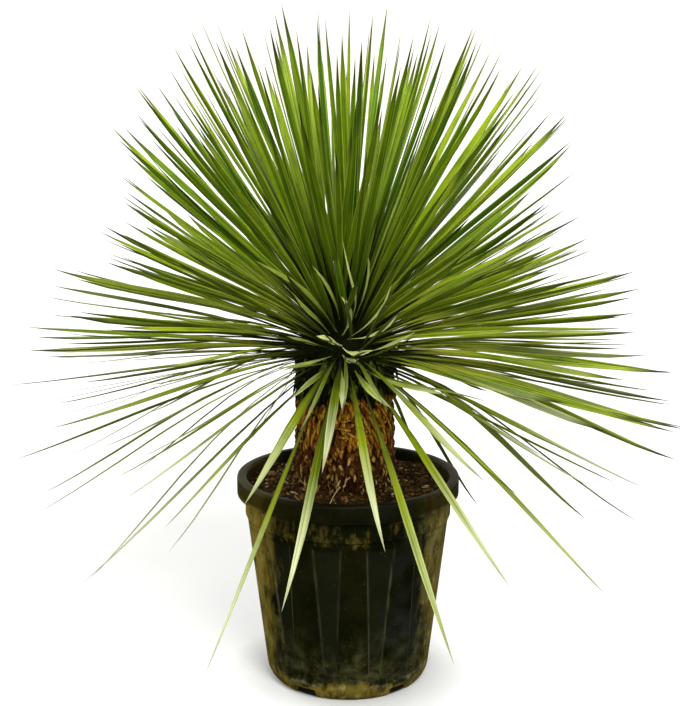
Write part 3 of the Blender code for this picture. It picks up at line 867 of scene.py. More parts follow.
def trunk_grains(draw):
    """(bearing, height, size factor) of every grain, in rows from the soil up."""
    grains = []
    level = GRAINS_FROM
    row = 0
    while level < GRAINS_TO:
        factor = 0.62 + 0.38 * smooth_step(0.262, 0.305, level)
        count = round(math.tau * between(GRAIN_RADII, level) / (GRAIN_SPACING * factor))
        for number in range(count):
            bearing = (number + 0.5 * (row % 2) + draw.gauss(0, 0.20)) * 360 / count
            grains.append((bearing, level + draw.gauss(0, 0.0024), factor))
        level += GRAIN_ROW * factor
        row += 1
    return grains


def build_grains(finish):
    draw = random.Random(GRAIN_SEED)
    grains = trunk_grains(draw)
    bm, groups, layers = copies(prism(GRAIN_STATIONS, False), len(grains), GRAIN_VALUES)
    for (bearing, height, factor), group in zip(grains, groups):
        untidy = UNTIDY * (1 - smooth_step(0.270, 0.310, height))
        lean = draw.gauss(0, 0.9) if draw.random() < ASKEW * (1 + untidy) else draw.gauss(0, 0.20)
        flare = draw.uniform(*GRAIN_FLARE)
        root = direction(bearing, 0.0) * (between(GRAIN_RADII, height) - GRAIN_SUNK)
        root = Vector((TRUNK_X, 0.0, height)) + root
        size = (
            factor * draw.uniform(*GRAIN_LENGTH) * (1 + 0.10 * untidy),
            factor * draw.uniform(*GRAIN_WIDTH) * (1 - 0.18 * untidy),
            factor * draw.uniform(*GRAIN_THICKNESS) * (1 + 0.5 * untidy * draw.random()),
        )
        lay_grain(group, layers, bearing, root, flare, lean, size, draw.random())
    return add_piece("trunk_scales", bm, finish, "trunk")


# %% [markdown]
# Some scales have come loose and hang as long strands that bend round the trunk, most of them on the right.
# Each is a row of the table: where it starts round the trunk and how high, how far it sweeps and drops, its
# width in millimetres and its tone. A prism with more cuts can follow such a bend.

# %% Strands of the trunk
STRAND_STATIONS = (0.08, 0.2, 0.35, 0.5, 0.65, 0.8, 0.92)
STRAND_LIFT = 0.0016
STRANDS = (
    (24, 0.3670, 31, 0.040, 6.4, 1.00),
    (17, 0.3690, 26, 0.036, 4.6, 0.80),
    (26, 0.3540, 20, 0.040, 6.0, 0.95),
    (36, 0.3680, 26, 0.034, 4.2, 0.60),
    (17, 0.3560, 15, 0.032, 4.6, 0.75),
    (15, 0.3400, 15, 0.030, 5.0, 0.90),
    (30, 0.3360, 14, 0.030, 4.4, 0.70),
    (43, 0.3420, 14, 0.032, 4.0, 0.55),
    (55, 0.3460, 15, 0.032, 4.4, 0.60),
    (-8, 0.3365, 16, 0.003, 4.0, 0.95),
    (-7, 0.3260, 12, 0.002, 3.6, 0.85),
    (-6, 0.3450, 13, -0.002, 3.8, 0.75),
    (2, 0.3320, 11, 0.008, 4.0, 1.00),
    (-43, 0.3400, -3, 0.030, 6.0, 0.95),
    (-34, 0.3340, -8, 0.026, 5.4, 1.00),
    (-29, 0.3460, -3, 0.022, 5.0, 0.85),
    (-49, 0.3580, -9, 0.030, 4.6, 0.65),
    (-61, 0.3540, -13, 0.032, 4.6, 0.60),
)


def lay_strand(group, layers, row):
    """Lays one prism on the trunk, along a path that bends round it."""
    start, top, sweep, drop, width, tone = row

    def place(share):
        height = top - drop * max(0.0, share) ** 1.2
        out = direction(start + sweep * share, 0.0)
        lift = STRAND_LIFT * math.sin(math.pi * share)
        return Vector((TRUNK_X, 0.0, height)) + out * (between(GRAIN_RADII, height) + lift), out

    for vert in group:
        share = vert.co.z
        fat = math.sin(math.pi * (0.05 + 0.90 * share)) ** 0.6 * width / 1000
        offset = vert.co.x / HEXAGON_SIDE
        point, out = place(share)
        side = out.cross(place(share + 0.02)[0] - place(share - 0.02)[0]).normalized()
        vert[layers["across"]] = abs(offset)
        vert[layers["along"]] = 0.25 + 0.6 * share
        vert[layers["tone"]] = tone
        vert.co = point + side * (offset * fat / 2) - out * (vert.co.y * fat * 0.40)


def build_strands(finish):
    bm, groups, layers = copies(prism(STRAND_STATIONS, False), len(STRANDS), GRAIN_VALUES)
    for row, group in zip(STRANDS, groups):
        lay_strand(group, layers, row)
    return add_piece("trunk_strands", bm, finish, "trunk")


# %% [markdown]
# Dry fibre is golden and red-brown where it is young and clean, higher up. Near the soil, where it stays
# damp, most of it is nearly black, and a few scales that have lost their skin are pale tan. Every grain has
# its own tone. It is darker at its edges and at the root, where painted shade stands for its neighbours'
# shade together with the dirt it holds, and it is streaked lengthwise. A pale line along each grain's
# middle is a painted highlight, and the top of the trunk, under the leaves, is darkened with painted shade.

# %% Finish of the trunk
def trunk_finish():
    finish, tree, shader = new_finish("dry_fibre")
    here = places(tree)
    height = put(tree, "SeparateXYZ", {"Vector": here}).outputs["Z"]
    clouds = grain(here, 45.0, 4.0, 0.6)
    strands = grain(places(tree, (1.0, 1.0, 0.14)), 620.0, 4.0, 0.65)
    tone, along, across = (stored(tree, name) for name in GRAIN_VALUES)

    # clean fibre, streaked, with a painted highlight along the middle of each grain
    red_gold = blend(tone, (0.170, 0.044, 0.002), (0.430, 0.160, 0.005))
    gold = blend(tone, (0.215, 0.090, 0.003), (0.470, 0.252, 0.014))
    gold = blend(span(clouds, 0.40, 0.58), red_gold, gold)
    gold = blend(span(tone, 0.10, 0.45, 0.92, 0.0), gold, (0.050, 0.014, 0.003))
    colour = blend(span(strands, 0.38, 0.60, 0.75, 0.0), gold, (0.090, 0.028, 0.004))
    # painted highlight along the middle of each grain
    crest = product(span(across, 0.10, 0.60, 1.0, 0.0), tone, span(strands, 0.50, 0.66))
    colour = blend(crest, colour, (0.740, 0.500, 0.110))

    # rotten fibre low down, dark edges, roots darkened by dirt and painted shade, and painted shade under
    # the leaves
    ragged = total(height, product(clouds, 0.045))
    low = span(ragged, 0.292, 0.338, 1.0, 0.0)
    rotten = blend(span(tone, 0.62, 0.92), (0.008, 0.004, 0.001), (0.420, 0.290, 0.115))
    colour = blend(product(low, 0.93), colour, rotten)
    colour = blend(span(across, 0.45, 1.0, 0.0, 0.85), colour, (0.045, 0.012, 0.002))
    # painted shade together with dirt at the root of each grain
    colour = blend(span(along, 0.05, 0.50, 0.92, 0.0), colour, (0.012, 0.004, 0.001))
    # painted shade: the top of the trunk, under the leaves, is darkened
    colour = blend(product(span(height, 0.367, 0.378), 0.85), colour, (0.014, 0.014, 0.004))
    dress(shader, colour, 0.78, 0.06, strands, 0.0008)
    return finish


dry_fibre = trunk_finish()
build_stem(dry_fibre)
build_grains(dry_fibre)
build_strands(dry_fibre)

# %% [markdown]
# ## The leaves: where they grow
#
# The leaves of a yucca all come from one bud. Each new one is a golden angle, 137.5 degrees, further round
# than the last, and nearer the top, which fills the round head evenly with no rows. That rule and its seed
# are the frame's own, so that every leaf here lies where the frame's plain leaf lies. Low in front, where a
# viewer looks into the head, the rule gives way to a table, because there every single leaf counts.

# %% Rule of growth
HEAD_CENTRE = Vector((-0.004, 0.0, 0.415))
SEED = 11
GOLDEN_ANGLE = 137.508
HEAD_LEAVES = 350
HEAD_CROWDING = 0.88
HEAD_LOWEST = -15.0
SKIRT_LEAVES = 26
SKIRT_LOWEST = -42.0
FRONT_SECTOR = 25.0
FRONT_CEILING = 22.0
SKIRT_SECTOR = 65.0
REACH_ANGLES = (-90, -14, -5, 3, 14, 22, 28, 36, 46, 60, 90)
REACHES = (0.420, 0.424, 0.405, 0.385, 0.375, 0.352, 0.330, 0.332, 0.405, 0.414, 0.414)
LEAF_REACH = tuple(zip(REACH_ANGLES, REACHES))
SIDE_ROOM = 0.424
DEPTH_ROOM = 0.410
TOP_ROOM = 0.834
BEARING_SPREAD = 2.5
ELEVATION_SPREAD = 2.2
REACH_RANGE = (0.93, 1.04)
ARCH_RANGE = (0.006, 0.020)
SKIRT_ARCH = 0.012
BEND_SPREAD = 0.005
ROLL_SPREAD = 36.0
BOW_PEAK = 4 / 27
FRONT_ROLL = 12.0
FRONT_LEAVES = (
    # bearing, elevation, reach, arch, side bend
    (-31, -46, 0.430, 0.004, 0.0),
    (21, -40, 0.425, 0.006, 0.0),
    (57, -34, 0.430, 0.010, 0.0),
    (-52, -30, 0.430, 0.010, 0.0),
    (-10, -28, 0.410, 0.012, 0.0),
    (27, -25, 0.415, 0.010, 0.0),
    (6, -17, 0.405, 0.010, 0.0),
    (-27, -15, 0.410, 0.010, 0.0),
    (-36, -13, 0.400, 0.012, 0.0),
    (52, -13, 0.425, 0.012, 0.0),
    (-14, -10, 0.405, 0.014, 0.0),
    (38, -10, 0.415, 0.014, 0.0),
    (20, -7, 0.405, 0.014, 0.0),
    (-3, -5, 0.400, 0.016, 0.0),
    (-22, -3, 0.400, 0.010, 0.0),
    (-6, 1, 0.400, 0.014, 0.0),
    (12, 2, 0.400, 0.010, 0.0),
    (0, 4, 0.385, 0.012, 0.0),
    (6, 4, 0.405, 0.012, 0.0),
    (21, 4, 0.390, -0.010, 0.0),
    (-8, 5, 0.380, 0.000, 0.0),
    (-9, 9, 0.380, -0.004, 0.0),
    (2, 10, 0.380, -0.004, 0.0),
    (4, 12, 0.380, -0.004, 0.0),
    (-4, 14, 0.385, 0.006, 0.0),
    (-8, 14, 0.380, 0.002, 0.0),
    (11, 14, 0.380, -0.008, 0.0),
    (-17, 15, 0.370, 0.004, 0.0),
    (9, 18, 0.380, -0.008, 0.0),
    (0, 20, 0.380, 0.000, 0.006),
    (-9, 20, 0.380, 0.002, 0.0),
    (8, 21, 0.380, -0.006, 0.006),
)


def leaf_rule():
    """(bearing, elevation, reach, arch, side bend, roll) of every leaf, the front ones first."""
    draw = random.Random(SEED)
    leaves = [(*leaf, draw.uniform(-FRONT_ROLL, FRONT_ROLL)) for leaf in FRONT_LEAVES]
    lowest, start = (math.sin(math.radians(angle)) for angle in (SKIRT_LOWEST, HEAD_LOWEST))
    for number in range(SKIRT_LEAVES + HEAD_LEAVES):
        in_skirt = number < SKIRT_LEAVES
        if in_skirt:
            rise = lowest + (start - lowest) * (number + 0.5) / SKIRT_LEAVES
        else:
            rise = start + (1.0 - start) * ((number - SKIRT_LEAVES + 0.5) / HEAD_LEAVES) ** HEAD_CROWDING
        bearing = (number * GOLDEN_ANGLE + draw.gauss(0, BEARING_SPREAD) + 180) % 360 - 180
        elevation = max(SKIRT_LOWEST, math.degrees(math.asin(rise)) + draw.gauss(0, ELEVATION_SPREAD))
        reach = between(LEAF_REACH, elevation) * draw.uniform(*REACH_RANGE)
        arch = math.cos(math.radians(elevation)) * draw.uniform(*ARCH_RANGE)
        arch += SKIRT_ARCH if elevation < HEAD_LOWEST else 0.0
        bend = draw.gauss(0, BEND_SPREAD)
        roll = draw.gauss(0, ROLL_SPREAD)
        behind_table = abs(bearing) < FRONT_SECTOR and elevation < FRONT_CEILING
        if not behind_table and not (in_skirt and abs(bearing) < SKIRT_SECTOR):
            leaves.append((bearing, elevation, reach, arch, bend, roll))
    return leaves


print("leaves:", len(leaf_rule()))

# %% [markdown]
# ## The leaves: the line of each leaf
#
# A leaf's line starts inside the core and runs nearly straight to its tip, with a bow that is strongest at
# a third of its length. The lowest leaves leave the core further out, clear of the trunk. Besides the point
# on the line, a blade needs to know which way is across it and which way is up from it.

# %% Line of a leaf
LEAF_ROOT = 0.034
ROOT_SHIFT = ((-90, 0.028), (-37, 0.028), (-12, 0.0), (90, 0.0))


def leaf_line(leaf):
    """A function from a share of a leaf's length to its point, its across and its upward direction."""
    bearing, elevation, reach, arch, bend, roll = leaf
    along = direction(bearing, elevation)
    outward = direction(bearing, 0.0)
    level = direction(bearing + 90.0, 0.0)
    above = along.cross(level)
    chord = along * reach
    tip = HEAD_CENTRE + chord
    room = [SIDE_ROOM / abs(tip.x), DEPTH_ROOM / abs(tip.y)]
    if chord.z > 0:
        room.append((TOP_ROOM - HEAD_CENTRE.z) / chord.z)
    shift = outward * between(ROOT_SHIFT, elevation)
    chord = chord * min(1.0, *room) - shift
    bow = above * arch + level * bend
    start = (LEAF_ROOT - shift.length) / chord.length
    turn = math.radians(roll)
    across = level * math.cos(turn) + above * math.sin(turn)
    upward = above * math.cos(turn) - level * math.sin(turn)

    def line(share):
        reached = start + (1 - start) * share
        point = HEAD_CENTRE + shift + chord * reached + bow * (reached * (1 - reached) ** 2 / BOW_PEAK)
        return point, across, upward

    return line


# %% [markdown]
# ## The leaves: one blade
#
# A blade could be a flat strip, but a real one is stiff because it is not flat: its upper side is a shallow
# channel and its back is keeled. So the six sides of the prism become two margins, the bottom of the
# channel, the keel and two shoulders beside it. The blade is narrow where it leaves the core, widens to its
# middle, and narrows to a hard brown spine, and it twists a little on the way. Values kept at the vertices
# tell the finish where it is on the leaf, and which leaf it is on.

# %% Blade
BLADE_STATIONS = (0.05, 0.13, 0.25, 0.40, 0.56, 0.72, 0.86, 0.93)
BLADE_WIDTH = 0.0112
WIDTH_STATIONS = (0.0, *BLADE_STATIONS, 1.0)
SLENDER_WIDTHS = tuple(zip(WIDTH_STATIONS, (0.22, 0.22, 0.26, 0.47, 0.84, 0.98, 0.84, 0.48, 0.27, 0.04)))
SIDE_WIDTHS = tuple(zip(WIDTH_STATIONS, (0.18, 0.18, 0.20, 0.36, 0.78, 0.98, 1.0, 0.78, 0.34, 0.04)))
FULL_WIDTHS = tuple(zip(WIDTH_STATIONS, (0.22, 0.23, 0.30, 0.50, 0.88, 1.0, 0.98, 0.76, 0.33, 0.04)))
BLADE_DEPTHS = ((0.0, 1.2), (0.25, 1.0), (0.72, 0.75), (0.93, 0.36), (1.0, 0.05))
KEEL = 0.0026
SHOULDER = 0.0020
CHANNEL = 0.0014
WIDTH_BY_ELEVATION = ((-90, 1.0), (-20, 1.0), (0, 0.88), (15, 0.82), (60, 0.78), (90, 0.74))
BLADE_VALUES = ("along", "across", "under", "tone", "olive", "bloom", "shade", "spine", "young", "dark_to")


def blade_corner(corner):
    """(share of the half width, depth below the margins, underside) for a corner of the six-sided prism."""
    side = 0.0 if abs(corner.x) < 0.1 else math.copysign(1.0, corner.x)
    if corner.y > 0.9:
        return 0.0, KEEL, 1.0
    if corner.y > 0.1:
        return 0.6 * side, SHOULDER, 1.0
    if corner.y > -0.9:
        return side, 0.0, 0.5
    return 0.0, CHANNEL, 0.0


def lay_blade(group, layers, line, width, values, twist=0.0, sway=0.0, widths=SLENDER_WIDTHS, longer=1.0):
    """Lays one pointed prism along a line. Its values go to its vertices."""
    for vert in group:
        share = vert.co.z
        offset, depth, underside = blade_corner(vert.co)
        if share > 1 - NEARLY:
            offset = depth = 0.0
        point, across, upward = line(share * longer)
        turn = math.radians(twist) * (share - 0.4)
        sideways = across * math.cos(turn) + upward * math.sin(turn)
        outward = upward * math.cos(turn) - across * math.sin(turn)
        point = point + across * (sway * math.sin(math.pi * share) * share)
        point = point - sideways * (offset * width / 2 * between(widths, share))
        vert.co = point - outward * (depth * between(BLADE_DEPTHS, share) * width / BLADE_WIDTH)
        vert[layers["along"]] = share
        vert[layers["across"]] = offset
        vert[layers["under"]] = underside
        for name, value in values.items():
            vert[layers[name]] = value


blade = prism(BLADE_STATIONS, True)
print("one blade:", len(blade.polygons), "faces")

# %% [markdown]
# ## The leaves: their finish
#
# A fresh blade is yellow-green on its upper side, and its underside is darkened with painted shade. Older
# and lower blades carry a pale waxy bloom on their outer half, and a few are nearly white with it. The
# margin is a thin straw-coloured line and the spine at the tip is brown. A leaf that comes at the viewer or
# stands up has a long root darkened with painted shade, deep in the head, while the root of one that lies
# to the side is painted pale for the light that comes past the trunk: the value `dark_to` says how far up
# the blade the painted shade reaches. The value `shade` darkens a whole leaf with painted shade. Fine veins
# run the whole length: they are noise that is laid out across and along the blade, not in space, so they
# stay straight on every leaf.

# %% Finish of the leaves
def leaf_finish():
    finish, tree, shader = new_finish("tough_green_leaf")
    along, across, under, tone = (stored(tree, name) for name in ("along", "across", "under", "tone"))
    bloom, shade, young = (stored(tree, name) for name in ("bloom", "shade", "young"))
    from_middle = maths("ABSOLUTE", across)
    which = product(tone, 57.0)
    on_blade = {"X": product(across, 2.2), "Y": product(along, 1.3), "Z": which}
    veins = grain(put(tree, "CombineXYZ", on_blade).outputs["Vector"], 1.6, 1.0, 0.5)
    lengthwise = {"Y": product(along, 7.0), "Z": which}
    patches = grain(put(tree, "CombineXYZ", lengthwise).outputs["Vector"], 1.0, 3.0, 0.6)

    # the green: its tone, veins, patches, painted shade, and the painted light on the root of a leaf that
    # lies to the side
    green = blend(tone, (0.036, 0.155, 0.002), (0.300, 0.445, 0.006))
    green = blend(product(stored(tree, "olive"), 0.66), green, (0.290, 0.270, 0.004))
    green = blend(span(veins, 0.50, 0.66, 0.0, 0.70), green, (0.400, 0.510, 0.030))
    green = blend(span(veins, 0.32, 0.48, 0.60, 0.0), green, (0.012, 0.055, 0.001))
    green = blend(span(patches, 0.30, 0.50, 0.45, 0.0), green, (0.020, 0.070, 0.001))
    green = blend(shade, green, (0.016, 0.027, 0.001))
    to_side = span(stored(tree, "dark_to"), 0.06, 0.22, 0.85, 0.0)
    lit_root = product(span(along, 0.14, 0.50, 1.0, 0.0), to_side)
    green = blend(lit_root, green, (0.520, 0.560, 0.070))

    # wax, painted shade on the underside and the pale margin
    waxy = maths("MAXIMUM", span(along, 0.50, 0.80), young)
    waxy = product(waxy, bloom, span(veins, 0.34, 0.58, 0.55, 1.0))
    wax = blend(young, (0.610, 0.655, 0.450), (0.860, 0.930, 0.430))
    colour = blend(waxy, green, wax)
    # painted shade: the underside of the blade is darker
    back = product(span(under, 0.55, 1.0), 0.50)
    back = product(back, maths("SUBTRACT", 1.0, young))
    colour = blend(back, colour, (0.034, 0.085, 0.004))
    colour = blend(span(from_middle, 0.80, 1.0, 0.0, 0.70), colour, (0.520, 0.560, 0.120))

    # painted shade at the root, and the spine
    tapered = maths("SUBTRACT", along, product(from_middle, 0.20))
    dullness = maths("SUBTRACT", 1.0, tone)
    tapered = maths("SUBTRACT", tapered, product(dullness, 0.17))
    # painted shade: the root of the blade is darkened up to dark_to
    base = span(tapered, -0.05, stored(tree, "dark_to"), 0.98, 0.0)
    base = product(base, maths("SUBTRACT", 1.0, product(young, 0.9)))
    colour = blend(base, colour, (0.004, 0.008, 0.001))
    tip = product(span(along, 0.85, 0.94), stored(tree, "spine"))
    colour = blend(tip, colour, (0.022, 0.024, 0.010))
    dress(shader, colour, span(veins, 0.3, 0.7, 0.38, 0.56), 0.18, veins, 0.0003, 0.6)
    return finish


leaf_green = leaf_finish()
print("leaf finish:", len(leaf_green.node_tree.nodes), "nodes")

# %% [markdown]
# ## The leaves: growing them
#
# The rule is followed leaf by leaf. A second draw of chance, separate from the rule's own, gives each leaf
# its green, its twist and its bloom, so that the places stay those of the frame. Its width depends on
# where it grows. Upright leaves are broad almost to the tip and level ones are thin at the root. The old
# ones that droop on the left have dried narrow, and those in front above the trunk are made narrow too, so
# that the view into the middle of the head stays open.

# %% Grow the leaves
LOOK_SEED = 7
TWIST_SPREAD = 30.0
SWAY_SPREAD = 0.004
WIDTH_RANGE = (0.86, 1.06)
FULL_ABOVE = 44.0
FULL_ABOVE_IN_FRONT = 28.0
DROOPS_BELOW = -4.0
FRONT_HALF = 42.0
TIP_LONGER = 0.035
NARROW_SKIRT = 0.34
NARROW_LEFT = ((-90, 0.75), (-45, 0.75), (-30, 0.60), (0, 0.50), (90, 0.50))
LEFT_FROM = -25.0
NARROW_EYE = 0.50
DULL_SHADE = 0.65
EYE_SHADE = 0.45
FRONT_SHADE = 0.14
SKIRT_SHADE = 0.72
SIDE_DARK_TO = 0.06
FACING_DARK_TO = 0.33
EYE_DARK_TO = 0.28
FRONT_DARK_TO = 0.40
BLOOMING_SHARE = 0.18
FRONT_BLOOM = (0.80, 0.45, 0.40, 0.55, 0.90, 0.75, 0.95, 0.35, 0.80, 0.50, 0.60, 0.75, 0.70, 0.95)


def leaf_values(draw, bearing, elevation, front_number):
    """The finish values of one leaf."""
    high = smooth_step(5, 45, elevation)
    on_left = bearing < 0
    tone = min(1.0, max(0.0, draw.gauss((0.40 if on_left else 0.48) + 0.10 * high, 0.33)))
    bloom = max(0.0, draw.gauss(0.06 if on_left else 0.02, 0.12)) * (1 - 0.8 * high)
    if elevation < 10 and draw.random() < BLOOMING_SHARE:
        bloom = draw.uniform(0.25, 0.7)
    shade = (1 - smooth_step(-25, 30, elevation)) * draw.uniform(0.1, 0.60 if on_left else 0.25)
    dullest = (1 - smooth_step(0.0, 0.26, tone)) * (1 - smooth_step(45, 65, elevation))
    shade = max(shade, DULL_SHADE * dullest)
    spine = draw.uniform(0.6, 1.0)
    olive = (1 - smooth_step(0, 50, elevation)) * draw.uniform(0.2, 1.0)
    facing = max(1 - smooth_step(15, 42 if on_left else 32, abs(bearing)), smooth_step(35, 60, elevation))
    dark_to = SIDE_DARK_TO + (FACING_DARK_TO - SIDE_DARK_TO) * facing
    if front_number is not None:
        bloom = FRONT_BLOOM[front_number] if front_number < len(FRONT_BLOOM) else 0.25
        shade = EYE_SHADE if elevation > DROOPS_BELOW else FRONT_SHADE
        olive = 0.6
        spine = 0.3
        dark_to = FRONT_DARK_TO if elevation < DROOPS_BELOW else EYE_DARK_TO
    elif elevation < DROOPS_BELOW and bearing < LEFT_FROM:
        shade = SKIRT_SHADE
    values = {"tone": tone, "olive": olive, "bloom": bloom, "shade": shade, "spine": spine}
    return {**values, "young": 0.0, "dark_to": dark_to}


def widths_of(bearing, elevation, in_table):
    """Upright leaves are broad almost to the tip, level ones are thin at the root, the rest slender."""
    if elevation > (FULL_ABOVE_IN_FRONT if abs(bearing) < FRONT_HALF else FULL_ABOVE):
        return FULL_WIDTHS
    return SIDE_WIDTHS if elevation > DROOPS_BELOW and not in_table else SLENDER_WIDTHS


draw = random.Random(LOOK_SEED)
leaves = leaf_rule()
bm, groups, layers = copies(blade, len(leaves), BLADE_VALUES)
for number, (leaf, group) in enumerate(zip(leaves, groups)):
    bearing, elevation = leaf[:2]
    front_number = number if number < len(FRONT_LEAVES) else None
    width = BLADE_WIDTH * between(WIDTH_BY_ELEVATION, elevation) * draw.uniform(*WIDTH_RANGE)
    if elevation < DROOPS_BELOW and bearing < LEFT_FROM and front_number is None:
        width *= NARROW_SKIRT
    if front_number is not None and elevation > DROOPS_BELOW:
        width *= NARROW_EYE
    elif front_number is not None and bearing < LEFT_FROM:
        width *= between(NARROW_LEFT, elevation)
    widths = widths_of(bearing, elevation, front_number is not None)
    values = leaf_values(draw, bearing, elevation, front_number)
    twist = draw.gauss(0, TWIST_SPREAD)
    sway = draw.gauss(0, SWAY_SPREAD)
    longer = 1 + TIP_LONGER * smooth_step(35, 60, elevation)
    lay_blade(group, layers, leaf_line(leaf), width, values, twist, sway, widths, longer)
add_piece("leaf_blades", bm, leaf_green, "leaf_head")

# %% [markdown]
# The frame's head has about as many leaves as its triangles allow. The real one is fuller, so a second,
# thinner growth fills the gaps between them, from a little above level upwards. It follows the same golden
# angle with another start, and its leaves are a little shorter, so the head's outline stays as it is. Below
# 45 degrees, where daylight shows between the real leaves, more than half of them are left out by chance.

# %% Grow the leaves between
BETWEEN_LEAVES = 190
BETWEEN_START = 61.0
BETWEEN_LOWEST = math.sin(math.radians(9.0))
BETWEEN_SPREAD = 4.0
BETWEEN_REACH = (0.88, 0.99)
BETWEEN_WIDTH = (0.0066, 0.0086)
CLEAR_SECTOR = 32.0
CLEAR_CEILING = 30.0
THIN_CEILING = 45.0
THIN_SHARE = 0.60


def leaves_between():
    """(bearing, elevation, reach, arch, side bend, roll) of the thinner leaves."""
    found = []
    for number in range(BETWEEN_LEAVES):
        rise = BETWEEN_LOWEST + (1 - BETWEEN_LOWEST) * (number + 0.5) / BETWEEN_LEAVES
        bearing = (BETWEEN_START + number * GOLDEN_ANGLE + draw.gauss(0, BETWEEN_SPREAD) + 180) % 360 - 180
        elevation = math.degrees(math.asin(rise))
        reach = between(LEAF_REACH, elevation) * draw.uniform(*BETWEEN_REACH)
        arch = math.cos(math.radians(elevation)) * draw.uniform(*ARCH_RANGE)
        leaf = (bearing, elevation, reach, arch, draw.gauss(0, BEND_SPREAD), draw.gauss(0, ROLL_SPREAD))
        in_view = abs(bearing) < CLEAR_SECTOR and elevation < CLEAR_CEILING
        thinned = elevation < THIN_CEILING and draw.random() < THIN_SHARE
        if not in_view and not thinned:
            found.append(leaf)
    return found


thin_leaves = leaves_between()
bm, groups, layers = copies(blade, len(thin_leaves), BLADE_VALUES)
for leaf, group in zip(thin_leaves, groups):
    values = leaf_values(draw, leaf[0], leaf[1], None)
    twist = draw.gauss(0, TWIST_SPREAD)
    widths = widths_of(leaf[0], leaf[1], False)
    lay_blade(group, layers, leaf_line(leaf), draw.uniform(*BETWEEN_WIDTH), values, twist, 0.0, widths)
add_piece("leaves_between", bm, leaf_green, "leaf_head")

# %% [markdown]
# ## The core of the head
#
# Where so many leaves meet, their clasping bases hide the bud and the top of the stem. The core is a rough
# dome, painted nearly black for the deep shade inside the head. Rows of short bases hang round its lower
# edge, where it passes into the trunk. They are the same prisms as the trunk's grains, only longer, and
# painted green-black for the same shade, with a little painted light on the streaks of the lighter ones.

# %% Core and leaf bases
CORE_RADIUS = 0.0560
CORE_HEIGHT = 0.0500
CORE_FOOT_RADIUS = 0.0570
CORE_FOOT = TRUNK_TOP - 0.003
CORE_ROUGHNESS = 0.003
CORE_LUMP = 0.008
CORE_RINGS = 20
CORE_STEPS = 72
BASE_ROWS = (0.388, 0.396, 0.404, 0.412, 0.420)
BASES_PER_ROW = 44
BASE_RADIUS = 0.0560
BASE_LENGTH = (0.016, 0.030)
BASE_WIDTH = (0.0060, 0.0090)
BASE_THICKNESS = (0.0020, 0.0030)
BASE_FLARE = (0.10, 0.45)


def core_finish():
    finish, tree, shader = new_finish("shaded_leaf_bases")
    strands = grain(places(tree, (1.0, 1.0, 0.2)), 300.0, 4.0, 0.6)
    # painted shade: nearly black green, with painted light on the streaks of the lighter bases
    colour = blend(strands, (0.001, 0.002, 0.0005), (0.008, 0.010, 0.002))
    lit = product(span(stored(tree, "tone"), 0.55, 1.0), span(strands, 0.4, 0.6))
    colour = blend(lit, colour, (0.100, 0.150, 0.015))
    dress(shader, colour, 0.9, 0.04, strands, 0.001)
    return finish


def build_core(finish):
    points = [(0.0, 0.0, CORE_FOOT), (CORE_FOOT_RADIUS, 0.0, CORE_FOOT)]
    for ring in range(CORE_RINGS):
        angle = math.pi / 2 * ring / CORE_RINGS
        points.append((CORE_RADIUS * math.cos(angle), 0.0, HEAD_CENTRE.z + CORE_HEIGHT * math.sin(angle)))
    bm = spun([*points, (0.0, 0.0, HEAD_CENTRE.z + CORE_HEIGHT)], CORE_STEPS)
    for vert in bm.verts:
        if vert.co.z > TRUNK_TOP:
            outward = Vector((vert.co.x, vert.co.y, vert.co.z - HEAD_CENTRE.z)).normalized()
            vert.co += outward * (CORE_ROUGHNESS * noise.noise(vert.co / CORE_LUMP))
    bmesh.ops.translate(bm, vec=(HEAD_CENTRE.x, HEAD_CENTRE.y, 0.0), verts=bm.verts)
    add_piece("head_core", bm, finish, "leaf_head")


def build_bases(finish):
    total = len(BASE_ROWS) * BASES_PER_ROW
    bm, groups, layers = copies(prism(GRAIN_STATIONS, False), total, GRAIN_VALUES)
    for number, group in enumerate(groups):
        row, place = divmod(number, BASES_PER_ROW)
        bearing = (place + 0.5 * (row % 2) + draw.gauss(0, 0.2)) * 360 / BASES_PER_ROW
        flare = draw.uniform(*BASE_FLARE)
        lean = draw.gauss(0, 0.12)
        root = HEAD_CENTRE + direction(bearing, 0.0) * BASE_RADIUS
        root.z = BASE_ROWS[row] + draw.gauss(0, 0.002)
        size = [draw.uniform(*sizes) for sizes in (BASE_LENGTH, BASE_WIDTH, BASE_THICKNESS)]
        lay_grain(group, layers, bearing, root, flare, lean, size, draw.random())
    add_piece("leaf_bases", bm, finish, "leaf_head")


shaded_bases = core_finish()
build_core(shaded_bases)
build_bases(shaded_bases)

# %% [markdown]
# ## The young leaves
#
# In the middle of the head, short young leaves curl out towards the viewer. They follow no rule, so each
# one is a row of pixels of the picture, read off where the leaf starts, bends and ends, with how far out
# each point stands in front of the trunk's axis. The blade is laid along a smooth curve through them, and
# its width is kept square to both the curve and the viewer. The youngest are thin and pale with wax, and
# those that hang down in front of the trunk are older and greener.

